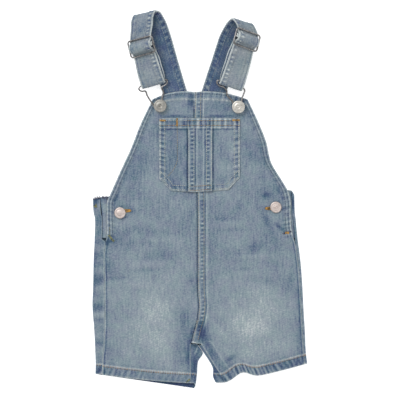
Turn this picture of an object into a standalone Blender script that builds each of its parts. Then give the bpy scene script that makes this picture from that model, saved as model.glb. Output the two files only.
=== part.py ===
# Toddler's denim dungarees with short legs, lying flat on a surface and seen from straight above.
# The top of the garment points to +Y, the wearer's back rests on z = 0, and lengths are in millimetres.
import math

import bpy
import numpy as np

MM = 0.001

# Cloth
CLOTH = 1.2  # one layer of denim
HEM = 2.2  # a turned and stitched edge
SEAM_GAP = 0.3  # clear space kept between neighbouring pieces
FOLD_INSIDE = 1.0  # inner radius of the side and inner leg folds
SHORTEST_STRIP = 0.6  # least width of a turned edge beyond its fold
FRONT_REST = 3.2  # underside of the fronts where they join the folded backs
FELL_RISE = 0.9  # how far a flat-felled seam stands proud
FELL_WIDTH = 10.5
SIDE_HEM_WIDTH = 9.0
BAND_EDGE = 0.8  # over which a hem or a felled seam steps down to one layer
CROTCH_Y = -189.0
OPENING_FOOT_Y = -50.0  # lower end of the side openings

# Front outlines as (y, x) pairs from the leg hem up
LEFT_OUTER = (
    (-230.5, -128.7), (-212, -128.7), (-194, -126.8), (-173, -125.8), (-105, -125.8), (-60, -125.2),
    (-48, -123), (-17, -122.8), (0, -121.7), (6, -119), (37, -105.5), (68.5, -91), (100.5, -78.3),
    (133, -62.5),
)
RIGHT_OUTER = (
    (-216.5, 138.3), (-200, 136.8), (-163, 134.7), (-121, 132.3), (-82, 129.4), (-60, 126), (-44, 121.6),
    (-21, 119.3), (0, 119), (9, 117), (26.5, 107.5), (47.5, 94.8), (79, 86.7), (100.5, 78), (132.5, 63),
)
CENTRE_SEAM = (
    (-189, -12), (-171.5, -7.7), (-161, -4.7), (-145, -2.3), (-119, -3.3), (-57, -3.5), (10.5, -4),
    (59.5, -6), (108, -8), (142.5, -7.5),
)
LEFT_INSEAM = ((-241.5, -12), (-215, -12.3), (-189, -12))
RIGHT_INSEAM = ((-241, 33), (-234, 29.4), (-220.5, 20.4), (-207.5, 12.3), (-197.5, 6.2), (-190.6, 1.5))

# Front rows on the legs, hem first, as (y at the outer edge, y at the inseam)
LEFT_LEG_ROWS = ((-230.5, -241.5), (-217.4, -229.5), (-216.2, -228.2), (-194, -210), (-177, -197))
RIGHT_LEG_ROWS = (
    (-216.5, -241), (-204.6, -231.5), (-203.4, -230.2), (-194, -220.5), (-186, -211.8), (-177, -203.2),
    (-163.5, -190.6),
)
# Front rows above the crotch, as (y at the centre seam, y at the left outer edge, y at the right outer edge)
BODY_ROWS = (
    (-188.4, -165.5, -161), (-178, -155, -153), (-162, -140, -140), (-140, -122, -121), (-110, -96, -96),
    (-70, -66, -66), (-54, -52.5, -51), (-47, -46, -44), (-32, -32, -30), (-12, -14, -14), (6, 2, 2),
    (24, 16, 16), (47, 37, 37), (68, 58, 58), (90, 79, 79), (111, 100, 100), (129.3, 119.2, 119),
    (130.5, 120.4, 120.2), (142.5, 133, 132.5),
)
TOP_BOW = 4.3  # how far the bib's top edge bows up between its ends
HEM_BOW = -1.5

# Soft forms of the fronts
THIGH_PUFF = 0.9
ARMHOLE_DROOP = 2.2  # the free armhole edges sink towards the surface
BIB_LIFT = 1.1  # the bib lies over the back's strap ends
OPENING_LIFT = 1.5  # the side openings lie over their button stands
RIGHT_HEM_KICK = 9.0  # the right hem turns up beside its inner corner

# Back rows: y and x of the side fold, then y and x of the inner fold, y of the inner strip that lies on top
# and how far the inner edge turns over in degrees
LEFT_BACK = (
    (-229.5, -138, -248.5, -6, -241.5, 180),
    (-216.5, -137.7, -231, -3.9, -229.5, 180),
    (-195.5, -138.4, -214, -2.6, -213, 180),
    (-176, -139.4, -202.5, 3.6, -201.5, 180),
    (-163, -140.2, -193, -3, -190.2, 180),
    (-158, -140.8, -190.8, -4.6, -190.8, 40),
    (-137, -142, -170, -6.5, -170, 20),
    (-116, -141.2, -140, -6.5, -140, 20),
    (-79, -140.4, -85, -6.5, -85, 20),
    (-57, -139.3, -57, -6.5, -57, 20),
    (-50, -139.1, -50, -6.5, -50, 20),
    (-26, -138.6, -26, -6.5, -26, 20),
    (0, -141.4, 0, -6.5, 0, 20),
    (120, -141.4, 120, -6.5, 120, 20),
)
RIGHT_BACK = (
    (-216, 141.6, -240.5, 20.5, -241, 180),
    (-203, 139.9, -232, 17, -232.5, 180),
    (-190, 139, -220.5, 16.4, -220.5, 180),
    (-175, 138.5, -203, 6, -203.2, 180),
    (-163, 137.8, -193, -1.6, -191.4, 180),
    (-158, 137.4, -190.8, -3.2, -190.8, 40),
    (-140, 136.4, -170, -5.2, -170, 20),
    (-110, 134.8, -130, -5.2, -130, 20),
    (-82, 132.6, -85, -5.2, -85, 20),
    (-57, 129.5, -57, -5.2, -57, 20),
    (-50, 128.6, -50, -5.2, -50, 20),
    (-26, 126.3, -26, -5.2, -26, 20),
    (0, 124.6, 0, -5.2, 0, 20),
    (120, 124, 120, -5.2, 120, 20),
)
CROTCH_ROW = 4  # the inner strip on top ends after this row
FLAT_COLUMNS = 9  # points across the flat part of a back
TURN_POINTS = 5  # points round each of its folds
STRIP_POINTS = 2  # points across each strip beyond a fold
EDGE_POINTS = TURN_POINTS + STRIP_POINTS
LEFT_OPENING_STRIP = 9.7  # width of the back's turned edge beside the side openings
RIGHT_OPENING_STRIP = 3.4
# Hidden back armholes: the line that the back is cut along, from the side fold up to the yoke
LEFT_BACK_CUT = (
    (-150, 0), (-141.6, 1.5), (-129.6, 4.1), (-120.5, 4.8), (-110, 12), (-95, 28), (-80, 48), (-66, 72),
    (-54, 96), (-45, 114), (-43, 130), (-150, 130),
)
RIGHT_BACK_CUT = (
    (134, 6), (123.8, 8), (121, 12.8), (112, 13.2), (97, 20), (82, 36), (66, 56), (50, 80), (36, 102),
    (28, 114), (27, 130), (134, 130),
)

# Pocket
POCKET_TOP = 107.5
POCKET_HEM_DEPTH = 12.6
POCKET_BOTTOM = ((-53.8, 28.5), (-37.5, 12), (-5.5, 10.5), (37.5, 13.5), (52.6, 30))  # lower edge as (x, y)
POCKET_SPLITS = (-53.8, -16.6, 17.1, 52.6)  # x of its sides and of the two felled seams
POCKET_CENTRE_LIFT = 1.0  # its middle lies over the centre front seam

# Button stands under the fronts: x from the back's seam inwards, y from foot to top
STAND_REACH = 13.0
LEFT_STAND_TOP = 3.4
RIGHT_STAND_TOP = 11.5

# Straps and their metal
STRAP_WIDTH = 32.0
STRAP_THICK = 2.4
STRAP_ROWS = 108
STRAP_TURN_WEIGHT = 6.0  # rows lie closer in the turns: one radian counts as this length
WIRE = 1.1  # radius of the slider and hook wires
WIRE_SIDES = 8
SLIDER_LENGTH = 36.4  # between the wire's centre lines, along the bars
SLIDER_HEIGHT = 22.0
SLIDER_CORNER = 3.2
# Way of the strap's middle through the slider as (place along the strap, height over the wires' plane)
SLIDER_PASS = ((11, -3.1), (6.2, -0.6), (4.2, 3.7), (0, 5.5), (-4.2, 3.7), (-6.2, -0.6), (-11, -3.2))
# Its way from the slider to the hook's bar as (share of that way, height), then its return beneath
BAR_PASS = ((0.2, -3.1), (0.5, -1.4), (0.8, 2.1))
BAR_TURN = 3.0  # radius of its middle round the hook's bar
BAR_RETURN = ((0.8, -3.1), (0.5, -4.4), (0.2, -6.0))
SLIDER_RETURN = ((-11, -6.1), (-5, -4.2))
END_TURN = 2.8  # radius of its end round the slider's middle bar
END_TURN_DEGREES = (0, 45, 90, 135, 180, 215)
RETURN_SHIFT = 2.2  # the returning layer shows beside the upper one
STRAP_EDGE = 0.95  # share of the half width where its edges round off
HOOK_HEIGHT = 8.6
HOOK_POINTS = 46

# Back part of each strap as (inner edge x, y, z, outer edge x, y, z), from the yoke to the slider
LEFT_STRAP = (
    (-8.8, 116.5, 2.75, -39.5, 107.5, 2.75),
    (-17, 143.5, 2.7, -47.7, 134.5, 2.7),
    (-26, 174, 2.1, -56.5, 164.5, 1.6),
    (-31.5, 193, 2.3, -62.3, 184.5, 1.5),
    (-36, 209, 3.2, -67.5, 203, 1.5),
    (-41, 225, 5.2, -72.5, 221, 1.5),
    (-46.5, 238.5, 8.5, -78, 235.5, 1.7),
    (-53.5, 248.3, 12.8, -84.5, 242, 2.3),
    (-58.2, 248.6, 16.2, -88, 242.2, 4.2),
    (-61, 242.5, 18.3, -90.3, 237, 5),
    (-62.2, 231, 19, -91.3, 225.5, 5),
)
RIGHT_STRAP = (
    (-7.2, 117, 2.75, 23.3, 107.3, 2.75),
    (2, 144, 2.7, 32.5, 134.5, 2.7),
    (9, 166, 2.1, 39.3, 155.8, 1.6),
    (16, 187, 2.3, 46.2, 177, 1.5),
    (21, 203, 3, 51.8, 195, 1.5),
    (26, 217, 5, 57, 210, 1.5),
    (32, 228.5, 8.5, 62, 221, 1.7),
    (37.8, 236.3, 12.6, 66, 229, 2.3),
    (42, 238.6, 16.4, 69.8, 231, 3.6),
    (45.4, 235, 18.8, 73, 226.5, 3.9),
)
# Slider centre, direction of its bars from the outer to the inner end, and direction of the strap
LEFT_SLIDER = ((-77.1, 201.5, 14.6), (0.873, 0.214, 0.438), (-0.23, 0.97, 0))
RIGHT_SLIDER = ((61.7, 211, 15.3), (-0.84, 0.29, 0.46), (0.17, 0.98, -0.1))
# Hook bar centre and direction from the outer to the inner end
LEFT_BAR = ((-62.3, 154, HOOK_HEIGHT), (0.963, 0.271, 0))
RIGHT_BAR = ((41.8, 151.8, HOOK_HEIGHT), (-0.95, 0.312, 0))
# Hook wire in plan, from the outer end of its bar down to the button and up again to the bar's inner end
LEFT_HOOK = (
    (-72, 151.3), (-79, 149.2), (-80.6, 146.2), (-77.4, 143.3), (-72, 143.2), (-69.8, 138.2), (-64.2, 129),
    (-57.6, 121.3), (-52.3, 119.3), (-47.9, 123), (-50.2, 133.4), (-48.3, 142.6), (-50.6, 148.4),
    (-46.2, 151.4), (-43.4, 154.4), (-43.4, 158), (-47, 158.3),
)
RIGHT_HOOK = (
    (51.5, 148.6), (57.5, 147), (58.9, 144.2), (57.4, 139.4), (54.8, 132), (55.2, 123), (50.8, 117.8),
    (45.9, 120), (42.4, 130.4), (35.8, 138.4), (34.6, 145.2), (31, 148.8), (25.4, 150.6), (22.6, 153.6),
    (22.9, 157.4), (27.5, 156.5), (34, 154.4),
)

# Buttons as (x, y), and their diameters
LEFT_BIB_BUTTON = (-52.5, 124)
RIGHT_BIB_BUTTON = (50.5, 122.5)
LEFT_SIDE_BUTTON = (-105.5, -17)
RIGHT_SIDE_BUTTON = (100, -9.5)
BIB_BUTTON_DIAMETER = 17.0
SIDE_BUTTON_DIAMETER = 15.0
BUTTON_NECK = 2.6  # radius
BUTTON_SIDES = 20
CAP_RIM = ((0.6, 0), (0, 0.7), (0.5, 1.5), (1.8, 1.7))  # distance in from the rim, height over the cap's foot
CAP_DIMPLE = ((1.9, 2.0), (1.1, 1.4), (0, 1.4))  # radius, height over the cap's foot

DENIM = (0.21, 0.28, 0.36)
STRAP_DENIM = (0.19, 0.26, 0.36)
STEEL = (0.55, 0.54, 0.52)


def add_object(name, points, faces, color, roughness, metallic, smooth):
    """One named object from millimetre points, with a material of its own."""
    mesh = bpy.data.meshes.new(name)
    mesh.from_pydata((np.asarray(points, float) * MM).tolist(), [], faces)
    mesh.validate()
    obj = bpy.data.objects.new(name, mesh)
    bpy.context.scene.collection.objects.link(obj)
    material = bpy.data.materials.new(name)
    material.use_nodes = True
    surface = material.node_tree.nodes["Principled BSDF"]
    surface.inputs["Base Color"].default_value = (*color, 1.0)
    surface.inputs["Roughness"].default_value = roughness
    surface.inputs["Metallic"].default_value = metallic
    mesh.materials.append(material)
    if smooth:
        mesh.shade_smooth()
        mesh.set_sharp_from_angle(angle=math.radians(40))
    return obj


def through(knots, values, at):
    """A smooth line through the values at their knots, read at other places."""
    knots = np.asarray(knots, float)
    values = np.asarray(values, float)
    at = np.asarray(at, float)
    steps = np.diff(knots)
    shaped = steps.reshape((-1,) + (1,) * (values.ndim - 1))
    rises = np.diff(values, axis=0) / shaped
    inner = (rises[:-1] * shaped[1:] + rises[1:] * shaped[:-1]) / (shaped[1:] + shaped[:-1])
    slopes = np.concatenate([rises[:1], inner, rises[-1:]])
    span = np.clip(np.searchsorted(knots, at, side="right") - 1, 0, len(steps) - 1)
    width = steps[span]
    part = np.clip((at - knots[span]) / width, 0, 1)
    part = part.reshape(part.shape + (1,) * (values.ndim - 1))
    width = width.reshape(width.shape + (1,) * (values.ndim - 1))
    share = part * part * (3 - 2 * part)
    leaving = part * (1 - part) ** 2 * width * slopes[span]
    arriving = part * part * (1 - part) * width * slopes[span + 1]
    return values[span] * (1 - share) + values[span + 1] * share + leaving - arriving


def edge_x(edge, y):
    """The x of an outline given as (y, x) pairs."""
    table = np.asarray(edge, float)
    return through(table[:, 0], table[:, 1], y)


def ease(low, high, value):
    """Rises softly from 0 to 1 between low and high."""
    part = np.clip((value - low) / (high - low), 0, 1)
    return part * part * (3 - 2 * part)


def unit(vector):
    return np.asarray(vector, float) / np.linalg.norm(vector)


def hem_kick(x, y):
    """How far the right leg's hem turns up beside its inner corner."""
    return RIGHT_HEM_KICK * np.exp(-(((x - 56) / 13) ** 2)) * ease(-170, -225, y)


def front_underside(x, y):
    """Height of the underside of the fronts above the resting surface."""
    outer = np.where(x < -5, -edge_x(LEFT_OUTER, y), edge_x(RIGHT_OUTER, y))
    inward = outer - np.where(x < -5, -x, x)
    puff = THIGH_PUFF * np.exp(-(((np.abs(x) - 66) / 34) ** 2) - ((y + 105) / 65) ** 2)
    lift = BIB_LIFT * ease(78, 98, y)
    opening = OPENING_LIFT * ease(28, 16, inward) * ease(-62, -52, y) * ease(34, 15, y)
    droop = ARMHOLE_DROOP * ease(20, 0, inward) * ease(18, 40, y)
    return FRONT_REST + puff + lift + opening - droop


def shell(name, upper, lower, color):
    """A closed wall between two grids of points, rows by columns."""
    rows, columns = upper.shape[:2]
    points = np.concatenate([upper.reshape(-1, 3), lower.reshape(-1, 3)])
    index = np.arange(rows * columns).reshape(rows, columns)
    under = index + rows * columns
    a, b, c, d = index[:-1, :-1], index[:-1, 1:], index[1:, 1:], index[1:, :-1]
    faces = np.stack([a, b, c, d], axis=-1).reshape(-1, 4).tolist()
    a, b, c, d = under[:-1, :-1], under[1:, :-1], under[1:, 1:], under[:-1, 1:]
    faces += np.stack([a, b, c, d], axis=-1).reshape(-1, 4).tolist()
    rim = np.concatenate([index[0, :-1], index[:-1, -1], index[-1, :0:-1], index[:0:-1, 0]])
    below = rim + rows * columns
    ahead = np.roll(rim, -1)
    below_ahead = np.roll(below, -1)
    faces += np.stack([rim, below, below_ahead, ahead], axis=-1).tolist()
    return add_object(name, points, faces, color, 0.85, 0.0, True)


def front(name, leg_rows, column, outer_edge, inseam, sign):
    """One front: rows run from its outer to its inner edge, and hems and the felled seam are thicker."""
    outer_y = np.array([row[0] for row in leg_rows] + [row[column] for row in BODY_ROWS], float)
    inner_y = np.array([row[1] for row in leg_rows] + [row[0] for row in BODY_ROWS], float)
    count = len(outer_y)
    on_leg = inner_y < CROTCH_Y
    inner_x = np.where(on_leg, edge_x(inseam, inner_y), edge_x(CENTRE_SEAM, inner_y) + sign * SEAM_GAP / 2)
    outer = np.stack([edge_x(outer_edge, outer_y), outer_y], axis=1)
    inner = np.stack([inner_x, inner_y], axis=1)
    length = np.linalg.norm(inner - outer, axis=1)[:, None]
    near_outer = np.array([0, SIDE_HEM_WIDTH - BAND_EDGE, SIDE_HEM_WIDTH])
    near_inner = np.array([FELL_WIDTH + BAND_EDGE, FELL_WIDTH, 0])
    middle = np.linspace(0, 1, 7)[1:-1]
    start = near_outer[-1] / length
    stop = 1 - near_inner[0] / length
    between = start + (stop - start) * middle
    across = np.concatenate([near_outer / length, between, 1 - near_inner / length], axis=1)
    plan = outer[:, None] * (1 - across[..., None]) + inner[:, None] * across[..., None]
    bow = np.zeros(count)
    bow[:3] = HEM_BOW
    bow[-3:] = TOP_BOW
    plan[..., 1] += 4 * across * (1 - across) * bow[:, None]
    x, y = plan[..., 0], plan[..., 1]
    y += hem_kick(x, y)
    open_edge = ease(OPENING_FOOT_Y - 2, OPENING_FOOT_Y + 2, outer_y)[:, None]
    side_band = np.zeros(across.shape[1])
    side_band[:2] = 1
    row_band = np.zeros(count)
    row_band[[0, 1, -2, -1]] = 1
    thick = CLOTH + (HEM - CLOTH) * np.maximum(side_band * open_edge, row_band[:, None])
    if sign > 0:
        fell_band = np.zeros(across.shape[1])
        fell_band[-2:] = 1
        thick = np.maximum(thick, CLOTH + FELL_RISE * fell_band * ~on_leg[:, None])
    under = front_underside(x, y)
    upper = np.stack([x, y, under + thick], axis=-1)
    lower = np.stack([x, y, under], axis=-1)
    if sign > 0:
        upper, lower = upper[:, ::-1], lower[:, ::-1]
    return shell(name, upper, lower, DENIM)


def turned_edge(fold_x, seam_x, angle, out):
    """Section of an edge that turns over, as (x, z) of its outer and inner faces from the flat to the end."""
    turns = np.radians(np.linspace(0, angle, TURN_POINTS))
    around = np.column_stack([out * np.sin(turns), -np.cos(turns)])
    outside = FOLD_INSIDE + CLOTH
    centre = np.array([fold_x - out * outside * math.sin(min(turns[-1], math.pi / 2)), outside])
    run = max(SHORTEST_STRIP, out * (centre[0] - seam_x)) if angle > 90 else SHORTEST_STRIP
    heading = np.array([out * math.cos(turns[-1]), math.sin(turns[-1])])
    strip = np.linspace(0, run, STRIP_POINTS + 1)[1:, None] * heading
    faces = []
    for radius in (outside, FOLD_INSIDE):
        arc = centre + radius * around
        faces.append(np.concatenate([arc, arc[-1] + strip]))
    return faces


def side_seam_x(outer_edge, fold, opening_strip, out, y):
    """Where the back's turned edge ends on top: at the front's edge, or at the stand by the side opening."""
    beside_front = edge_x(outer_edge, y) + out * SEAM_GAP * 1.5
    open_part = ease(OPENING_FOOT_Y - 6, OPENING_FOOT_Y - 1, y)
    return beside_front * (1 - open_part) + (fold - out * opening_strip) * open_part


def back(name, table, out, outer_edge, inseam, opening_strip, cut):
    """One back: flat on the surface, turned over on to the top at its side fold and inner leg fold."""
    table = np.asarray(table, float)
    places = np.arange(len(table))
    halves = np.delete(places[:-1], CROTCH_ROW) + 0.5
    table = through(places, table, np.sort(np.concatenate([places, halves])))
    upper, lower = [], []
    for y_side, fold, y_inner, inner_fold, y_strip, angle in table:
        seam = side_seam_x(outer_edge, fold, opening_strip, out, y_side)
        inner_seam = edge_x(inseam, y_strip) - out * SEAM_GAP * 1.5
        side, side_inner = turned_edge(fold, float(seam), 180, out)
        leg, leg_inner = turned_edge(inner_fold, float(inner_seam), min(180, angle), -out)
        flat_x = np.linspace(leg[0, 0], side[0, 0], FLAT_COLUMNS + 2)[1:-1]
        faces = []
        for first, last, height in ((leg, side, 0), (leg_inner, side_inner, CLOTH)):
            flat = np.stack([flat_x, np.full(FLAT_COLUMNS, height)], axis=1)
            faces.append(np.concatenate([first[::-1], flat, last]))
        strip_share = np.concatenate([np.ones(STRIP_POINTS), np.linspace(1, 0, TURN_POINTS)])
        lean = np.clip((faces[0][:, 0] - inner_fold) / (fold - inner_fold), 0, 1)
        y = y_inner + (y_side - y_inner) * lean
        y[:EDGE_POINTS] = y_inner + (y_strip - y_inner) * strip_share
        y[-EDGE_POINTS:] = y_side
        y += hem_kick(faces[0][:, 0], y)
        lower.append(np.column_stack([faces[0][:, 0], y, faces[0][:, 1]]))
        upper.append(np.column_stack([faces[1][:, 0], y, faces[1][:, 1]]))
    upper, lower = np.array(upper), np.array(lower)
    if out < 0:
        upper, lower = upper[:, ::-1], lower[:, ::-1]
    panel = shell(name, upper, lower, DENIM)
    cutter = prism(name + "_armhole_cut", cut, -2, 9)
    cutter.hide_render = True
    cutter.display_type = "WIRE"
    armhole = panel.modifiers.new("armhole", "BOOLEAN")
    armhole.operation = "DIFFERENCE"
    armhole.solver = "EXACT"
    armhole.object = cutter
    return panel


def prism(name, outline, low, high):
    """An upright block over an outline."""
    outline = np.asarray(outline, float)
    following = np.roll(outline, -1, axis=0)
    if (outline[:, 0] * following[:, 1] - following[:, 0] * outline[:, 1]).sum() < 0:
        outline = outline[::-1]
    count = len(outline)
    floor = np.column_stack([outline, np.full(count, low)])
    roof = np.column_stack([outline, np.full(count, high)])
    sides = [[i, (i + 1) % count, count + (i + 1) % count, count + i] for i in range(count)]
    faces = [list(range(count))[::-1], list(range(count, 2 * count))] + sides
    return add_object(name, np.concatenate([floor, roof]), faces, DENIM, 0.85, 0.0, False)


def stand(name, table, out, opening_strip, top):
    """The button stand: a strip of cloth sewn to the back's turned edge, under the front's opening."""
    table = np.asarray(table, float)
    y = np.linspace(OPENING_FOOT_Y, top, 6)
    seam = through(table[:, 0], table[:, 1], y) - out * (opening_strip + 1.5 * SEAM_GAP)
    across = np.linspace(0, 1, 4)
    x = seam[:, None] - out * STAND_REACH * across
    level = np.full(x.shape, FRONT_REST)
    grid_y = np.repeat(y[:, None], 4, axis=1)
    lower = np.stack([x, grid_y, level], axis=-1)
    upper = np.stack([x, grid_y, level + CLOTH], axis=-1)
    if out > 0:
        upper, lower = upper[:, ::-1], lower[:, ::-1]
    return shell(name, upper, lower, DENIM)


def pocket_part(name, left, right, fell):
    """One panel of the pocket, moved out from the bib, with its hem and felled seams thicker."""
    left += SEAM_GAP / 2
    right -= SEAM_GAP / 2
    if fell:
        band = np.array([0, FELL_WIDTH - BAND_EDGE, FELL_WIDTH])
        columns = np.concatenate([left + band, [-3.5, 3.5], right - band[::-1]])
        raised = np.array([1, 1, 0, 0, 0, 0, 1, 1])
    else:
        columns = np.linspace(left, right, 6)
        raised = np.zeros(6)
    x = np.asarray(columns, float)
    bottom = np.interp(x, [p[0] for p in POCKET_BOTTOM], [p[1] for p in POCKET_BOTTOM])
    heights = np.concatenate([np.linspace(0, 1, 7), [1.0, 1.0]])
    body_top = POCKET_TOP - POCKET_HEM_DEPTH - BAND_EDGE
    y = bottom + (body_top - bottom) * heights[:, None]
    y[-2] = POCKET_TOP - POCKET_HEM_DEPTH
    y[-1] = POCKET_TOP
    x = np.repeat(x[None], len(y), axis=0)
    hem = np.zeros(len(y))
    hem[-2:] = 1
    thick = CLOTH + FELL_RISE * np.maximum(hem[:, None], raised[None])
    lift = SEAM_GAP + POCKET_CENTRE_LIFT * ease(26, 14, np.abs(x + 3))
    under = front_underside(x, y) + CLOTH + lift
    upper = np.stack([x, y, under + thick], axis=-1)
    lower = np.stack([x, y, under], axis=-1)
    return shell(name, upper, lower, DENIM)


def swept(name, rings, closed, color, roughness, metallic):
    """A solid through a row of rings, closed on itself or capped at both ends."""
    rings = np.asarray(rings, float)
    count, sides = rings.shape[:2]
    faces = []
    for i in range(count if closed else count - 1):
        j = (i + 1) % count
        for k in range(sides):
            m = (k + 1) % sides
            faces.append([i * sides + k, i * sides + m, j * sides + m, j * sides + k])
    if not closed:
        faces.append(list(range(sides))[::-1])
        faces.append([(count - 1) * sides + k for k in range(sides)])
    obj = add_object(name, rings.reshape(-1, 3), faces, color, roughness, metallic, True)
    face_outwards(obj)
    return obj


def face_outwards(obj):
    """Turns the faces round if they enclose a negative volume."""
    points = np.array([vertex.co for vertex in obj.data.vertices])
    obj.data.calc_loop_triangles()
    triangles = np.array([triangle.vertices for triangle in obj.data.loop_triangles])
    if np.linalg.det(points[triangles]).sum() < 0:
        obj.data.flip_normals()


def along(points, count, closed):
    """Evenly spaced points of a smooth line through the given ones."""
    points = np.asarray(points, float)
    if closed:
        points = np.concatenate([points[-3:], points, points[:4]])
    knots = np.concatenate([[0], np.cumsum(np.linalg.norm(np.diff(points, axis=0), axis=1))])
    first, last = (knots[3], knots[-4]) if closed else (knots[0], knots[-1])
    return through(knots, points, np.linspace(first, last, count, endpoint=not closed))


def closer_in_turns(edges, count, turn_weight):
    """Rows of a band at even steps of its length plus its turning. Each row holds both edge points."""
    steps = np.diff((edges[:, :3] + edges[:, 3:]) / 2, axis=0)
    lengths = np.linalg.norm(steps, axis=1)
    ways = steps / lengths[:, None]
    turns = np.arccos(np.clip((ways[1:] * ways[:-1]).sum(axis=1), -1, 1))
    gone = np.concatenate([[0], np.cumsum(lengths + turn_weight * np.append(turns, 0))])
    even = np.linspace(0, gone[-1], count)
    return np.column_stack([np.interp(even, gone, column) for column in edges.T])


def wire_rings(path, normal, closed):
    """Round rings along a path that lies in a plane."""
    ahead = np.roll(path, -1, axis=0) - np.roll(path, 1, axis=0)
    if not closed:
        ahead = np.repeat((path[-1] - path[0])[None], len(path), axis=0)
    ahead /= np.linalg.norm(ahead, axis=1)[:, None]
    side = np.cross(ahead, normal)
    turns = np.linspace(0, 2 * math.pi, WIRE_SIDES, endpoint=False)
    ring = side[:, None] * np.cos(turns)[:, None] + unit(normal) * np.sin(turns)[:, None]
    return path[:, None] + WIRE * ring


def frame_of(bars, strap):
    """Unit directions along the bars, along the strap and out of the face."""
    bars = unit(bars)
    strap = unit(np.asarray(strap, float) - np.dot(strap, bars) * bars)
    normal = np.cross(bars, strap)
    return bars, strap, normal * np.sign(normal[2])


def slider(name, placing):
    """A wire frame with round corners and a middle bar that the strap runs over."""
    centre, bars, strap = placing
    bars, strap, normal = frame_of(bars, strap)
    half_length, half_height = SLIDER_LENGTH / 2, SLIDER_HEIGHT / 2
    corner = []
    for sx, sy, start in ((1, 1, 0), (-1, 1, 90), (-1, -1, 180), (1, -1, 270)):
        middle = (sx * (half_length - SLIDER_CORNER), sy * (half_height - SLIDER_CORNER))
        for turn in np.radians(start + np.array([0, 30, 60, 90])):
            along_bar = middle[0] + SLIDER_CORNER * math.cos(turn)
            corner.append((along_bar, middle[1] + SLIDER_CORNER * math.sin(turn)))
    corner = np.array(corner)
    path = np.asarray(centre) + corner[:, :1] * bars + corner[:, 1:] * strap
    frame = swept(name, wire_rings(path, normal, True), True, STEEL, 0.35, 1.0)
    ends = np.asarray(centre) + np.array([[-half_length], [half_length]]) * bars
    bar = swept(name + "_bar", wire_rings(ends, normal, False), False, STEEL, 0.35, 1.0)
    bar.hide_render = True
    bar.display_type = "WIRE"
    join = frame.modifiers.new("middle bar", "BOOLEAN")
    join.operation = "UNION"
    join.solver = "EXACT"
    join.object = bar
    return frame


def strap(name, back_part, slider_placing, bar_placing):
    """One denim band: from the yoke over its fold, through the slider, round the hook's bar and back."""
    centre, bars, run = slider_placing
    bars, run, normal = frame_of(bars, run)
    bar_centre, bar_way = np.asarray(bar_placing[0], float), unit(bar_placing[1])
    down = np.cross(bar_way, (0, 0, 1))
    down = down * -np.sign(down[1])
    half = STRAP_WIDTH / 2
    edges = [np.array([row[:3], row[3:]], float) for row in back_part]

    def at_slider(place, height, shift=0.0):
        middle = centre + place * run + height * normal + shift * bars
        edges.append(np.array([middle + half * bars, middle - half * bars]))

    def towards_bar(part, height, shift=0.0):
        way = unit(bars * (1 - part) + bar_way * part)
        start = centre - SLIDER_HEIGHT / 2 * run
        middle = start * (1 - part) + bar_centre * part
        out = unit(normal * (1 - part) + np.array([0, 0, part]))
        middle = middle + height * out + shift * way
        edges.append(np.array([middle + half * way, middle - half * way]))

    for place, height in SLIDER_PASS:
        at_slider(place, height)
    for part, height in BAR_PASS:
        towards_bar(part, height)
    for turn in np.radians([0, 45, 90, 135, 180]):
        middle = bar_centre + BAR_TURN * (math.sin(turn) * down + math.cos(turn) * np.array([0, 0, 1]))
        middle = middle + RETURN_SHIFT / 2 * turn / math.pi * bar_way
        edges.append(np.array([middle + half * bar_way, middle - half * bar_way]))
    for part, height in BAR_RETURN:
        towards_bar(part, height, RETURN_SHIFT)
    for place, height in SLIDER_RETURN:
        at_slider(place, height, RETURN_SHIFT / 2)
    for turn in np.radians(END_TURN_DEGREES):
        at_slider(END_TURN * math.sin(turn), -END_TURN * math.cos(turn), RETURN_SHIFT / 2)

    edges = np.array(edges)
    fine = along(edges.reshape(len(edges), 6), 10 * STRAP_ROWS, False)
    both = closer_in_turns(fine, STRAP_ROWS, STRAP_TURN_WEIGHT).reshape(-1, 2, 3)
    middle = both.mean(axis=1)
    across = both[:, 0] - both[:, 1]
    width = np.linalg.norm(across, axis=1)[:, None]
    across /= width
    out = np.cross(np.gradient(middle, axis=0), across)
    out /= np.linalg.norm(out, axis=1)[:, None]
    thick = STRAP_THICK / 2
    corners = ((1, 0), (STRAP_EDGE, 1), (-STRAP_EDGE, 1), (-1, 0), (-STRAP_EDGE, -1), (STRAP_EDGE, -1))
    rings = np.stack([middle + across * width / 2 * u + out * thick * v for u, v in corners], axis=1)
    return swept(name, rings, False, STRAP_DENIM, 0.85, 0.0)


def hook(name, plan):
    """A closed wire loop that lies level, with the strap on its bar and the button in its foot."""
    path = along(plan, HOOK_POINTS, True)
    path = np.column_stack([path, np.full(len(path), HOOK_HEIGHT)])
    return swept(name, wire_rings(path, np.array([0.0, 0.0, 1.0]), True), True, STEEL, 0.35, 1.0)


def button(name, place, diameter, foot, cap_height):
    """A tack button turned about its own axis: neck, cap with a rolled rim, and a small dimple."""
    radius = diameter / 2
    profile = [(0, foot), (BUTTON_NECK, foot), (BUTTON_NECK, cap_height)]
    profile += [(radius - inward, cap_height + rise) for inward, rise in CAP_RIM]
    profile += [(r, cap_height + rise) for r, rise in CAP_DIMPLE]
    turns = np.linspace(0, 2 * math.pi, BUTTON_SIDES, endpoint=False)
    points = [(place[0], place[1], foot)]
    for r, z in profile[1:-1]:
        points += [(place[0] + r * math.cos(t), place[1] + r * math.sin(t), z) for t in turns]
    points.append((place[0], place[1], profile[-1][1]))
    faces = []
    rings = len(profile) - 2
    for k in range(BUTTON_SIDES):
        m = (k + 1) % BUTTON_SIDES
        faces.append([0, 1 + m, 1 + k])
        for i in range(rings - 1):
            low, high = 1 + i * BUTTON_SIDES, 1 + (i + 1) * BUTTON_SIDES
            faces.append([low + k, low + m, high + m, high + k])
        top = 1 + (rings - 1) * BUTTON_SIDES
        faces.append([top + k, top + m, len(points) - 1])
    obj = add_object(name, points, faces, STEEL, 0.35, 1.0, True)
    face_outwards(obj)
    return obj


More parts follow.
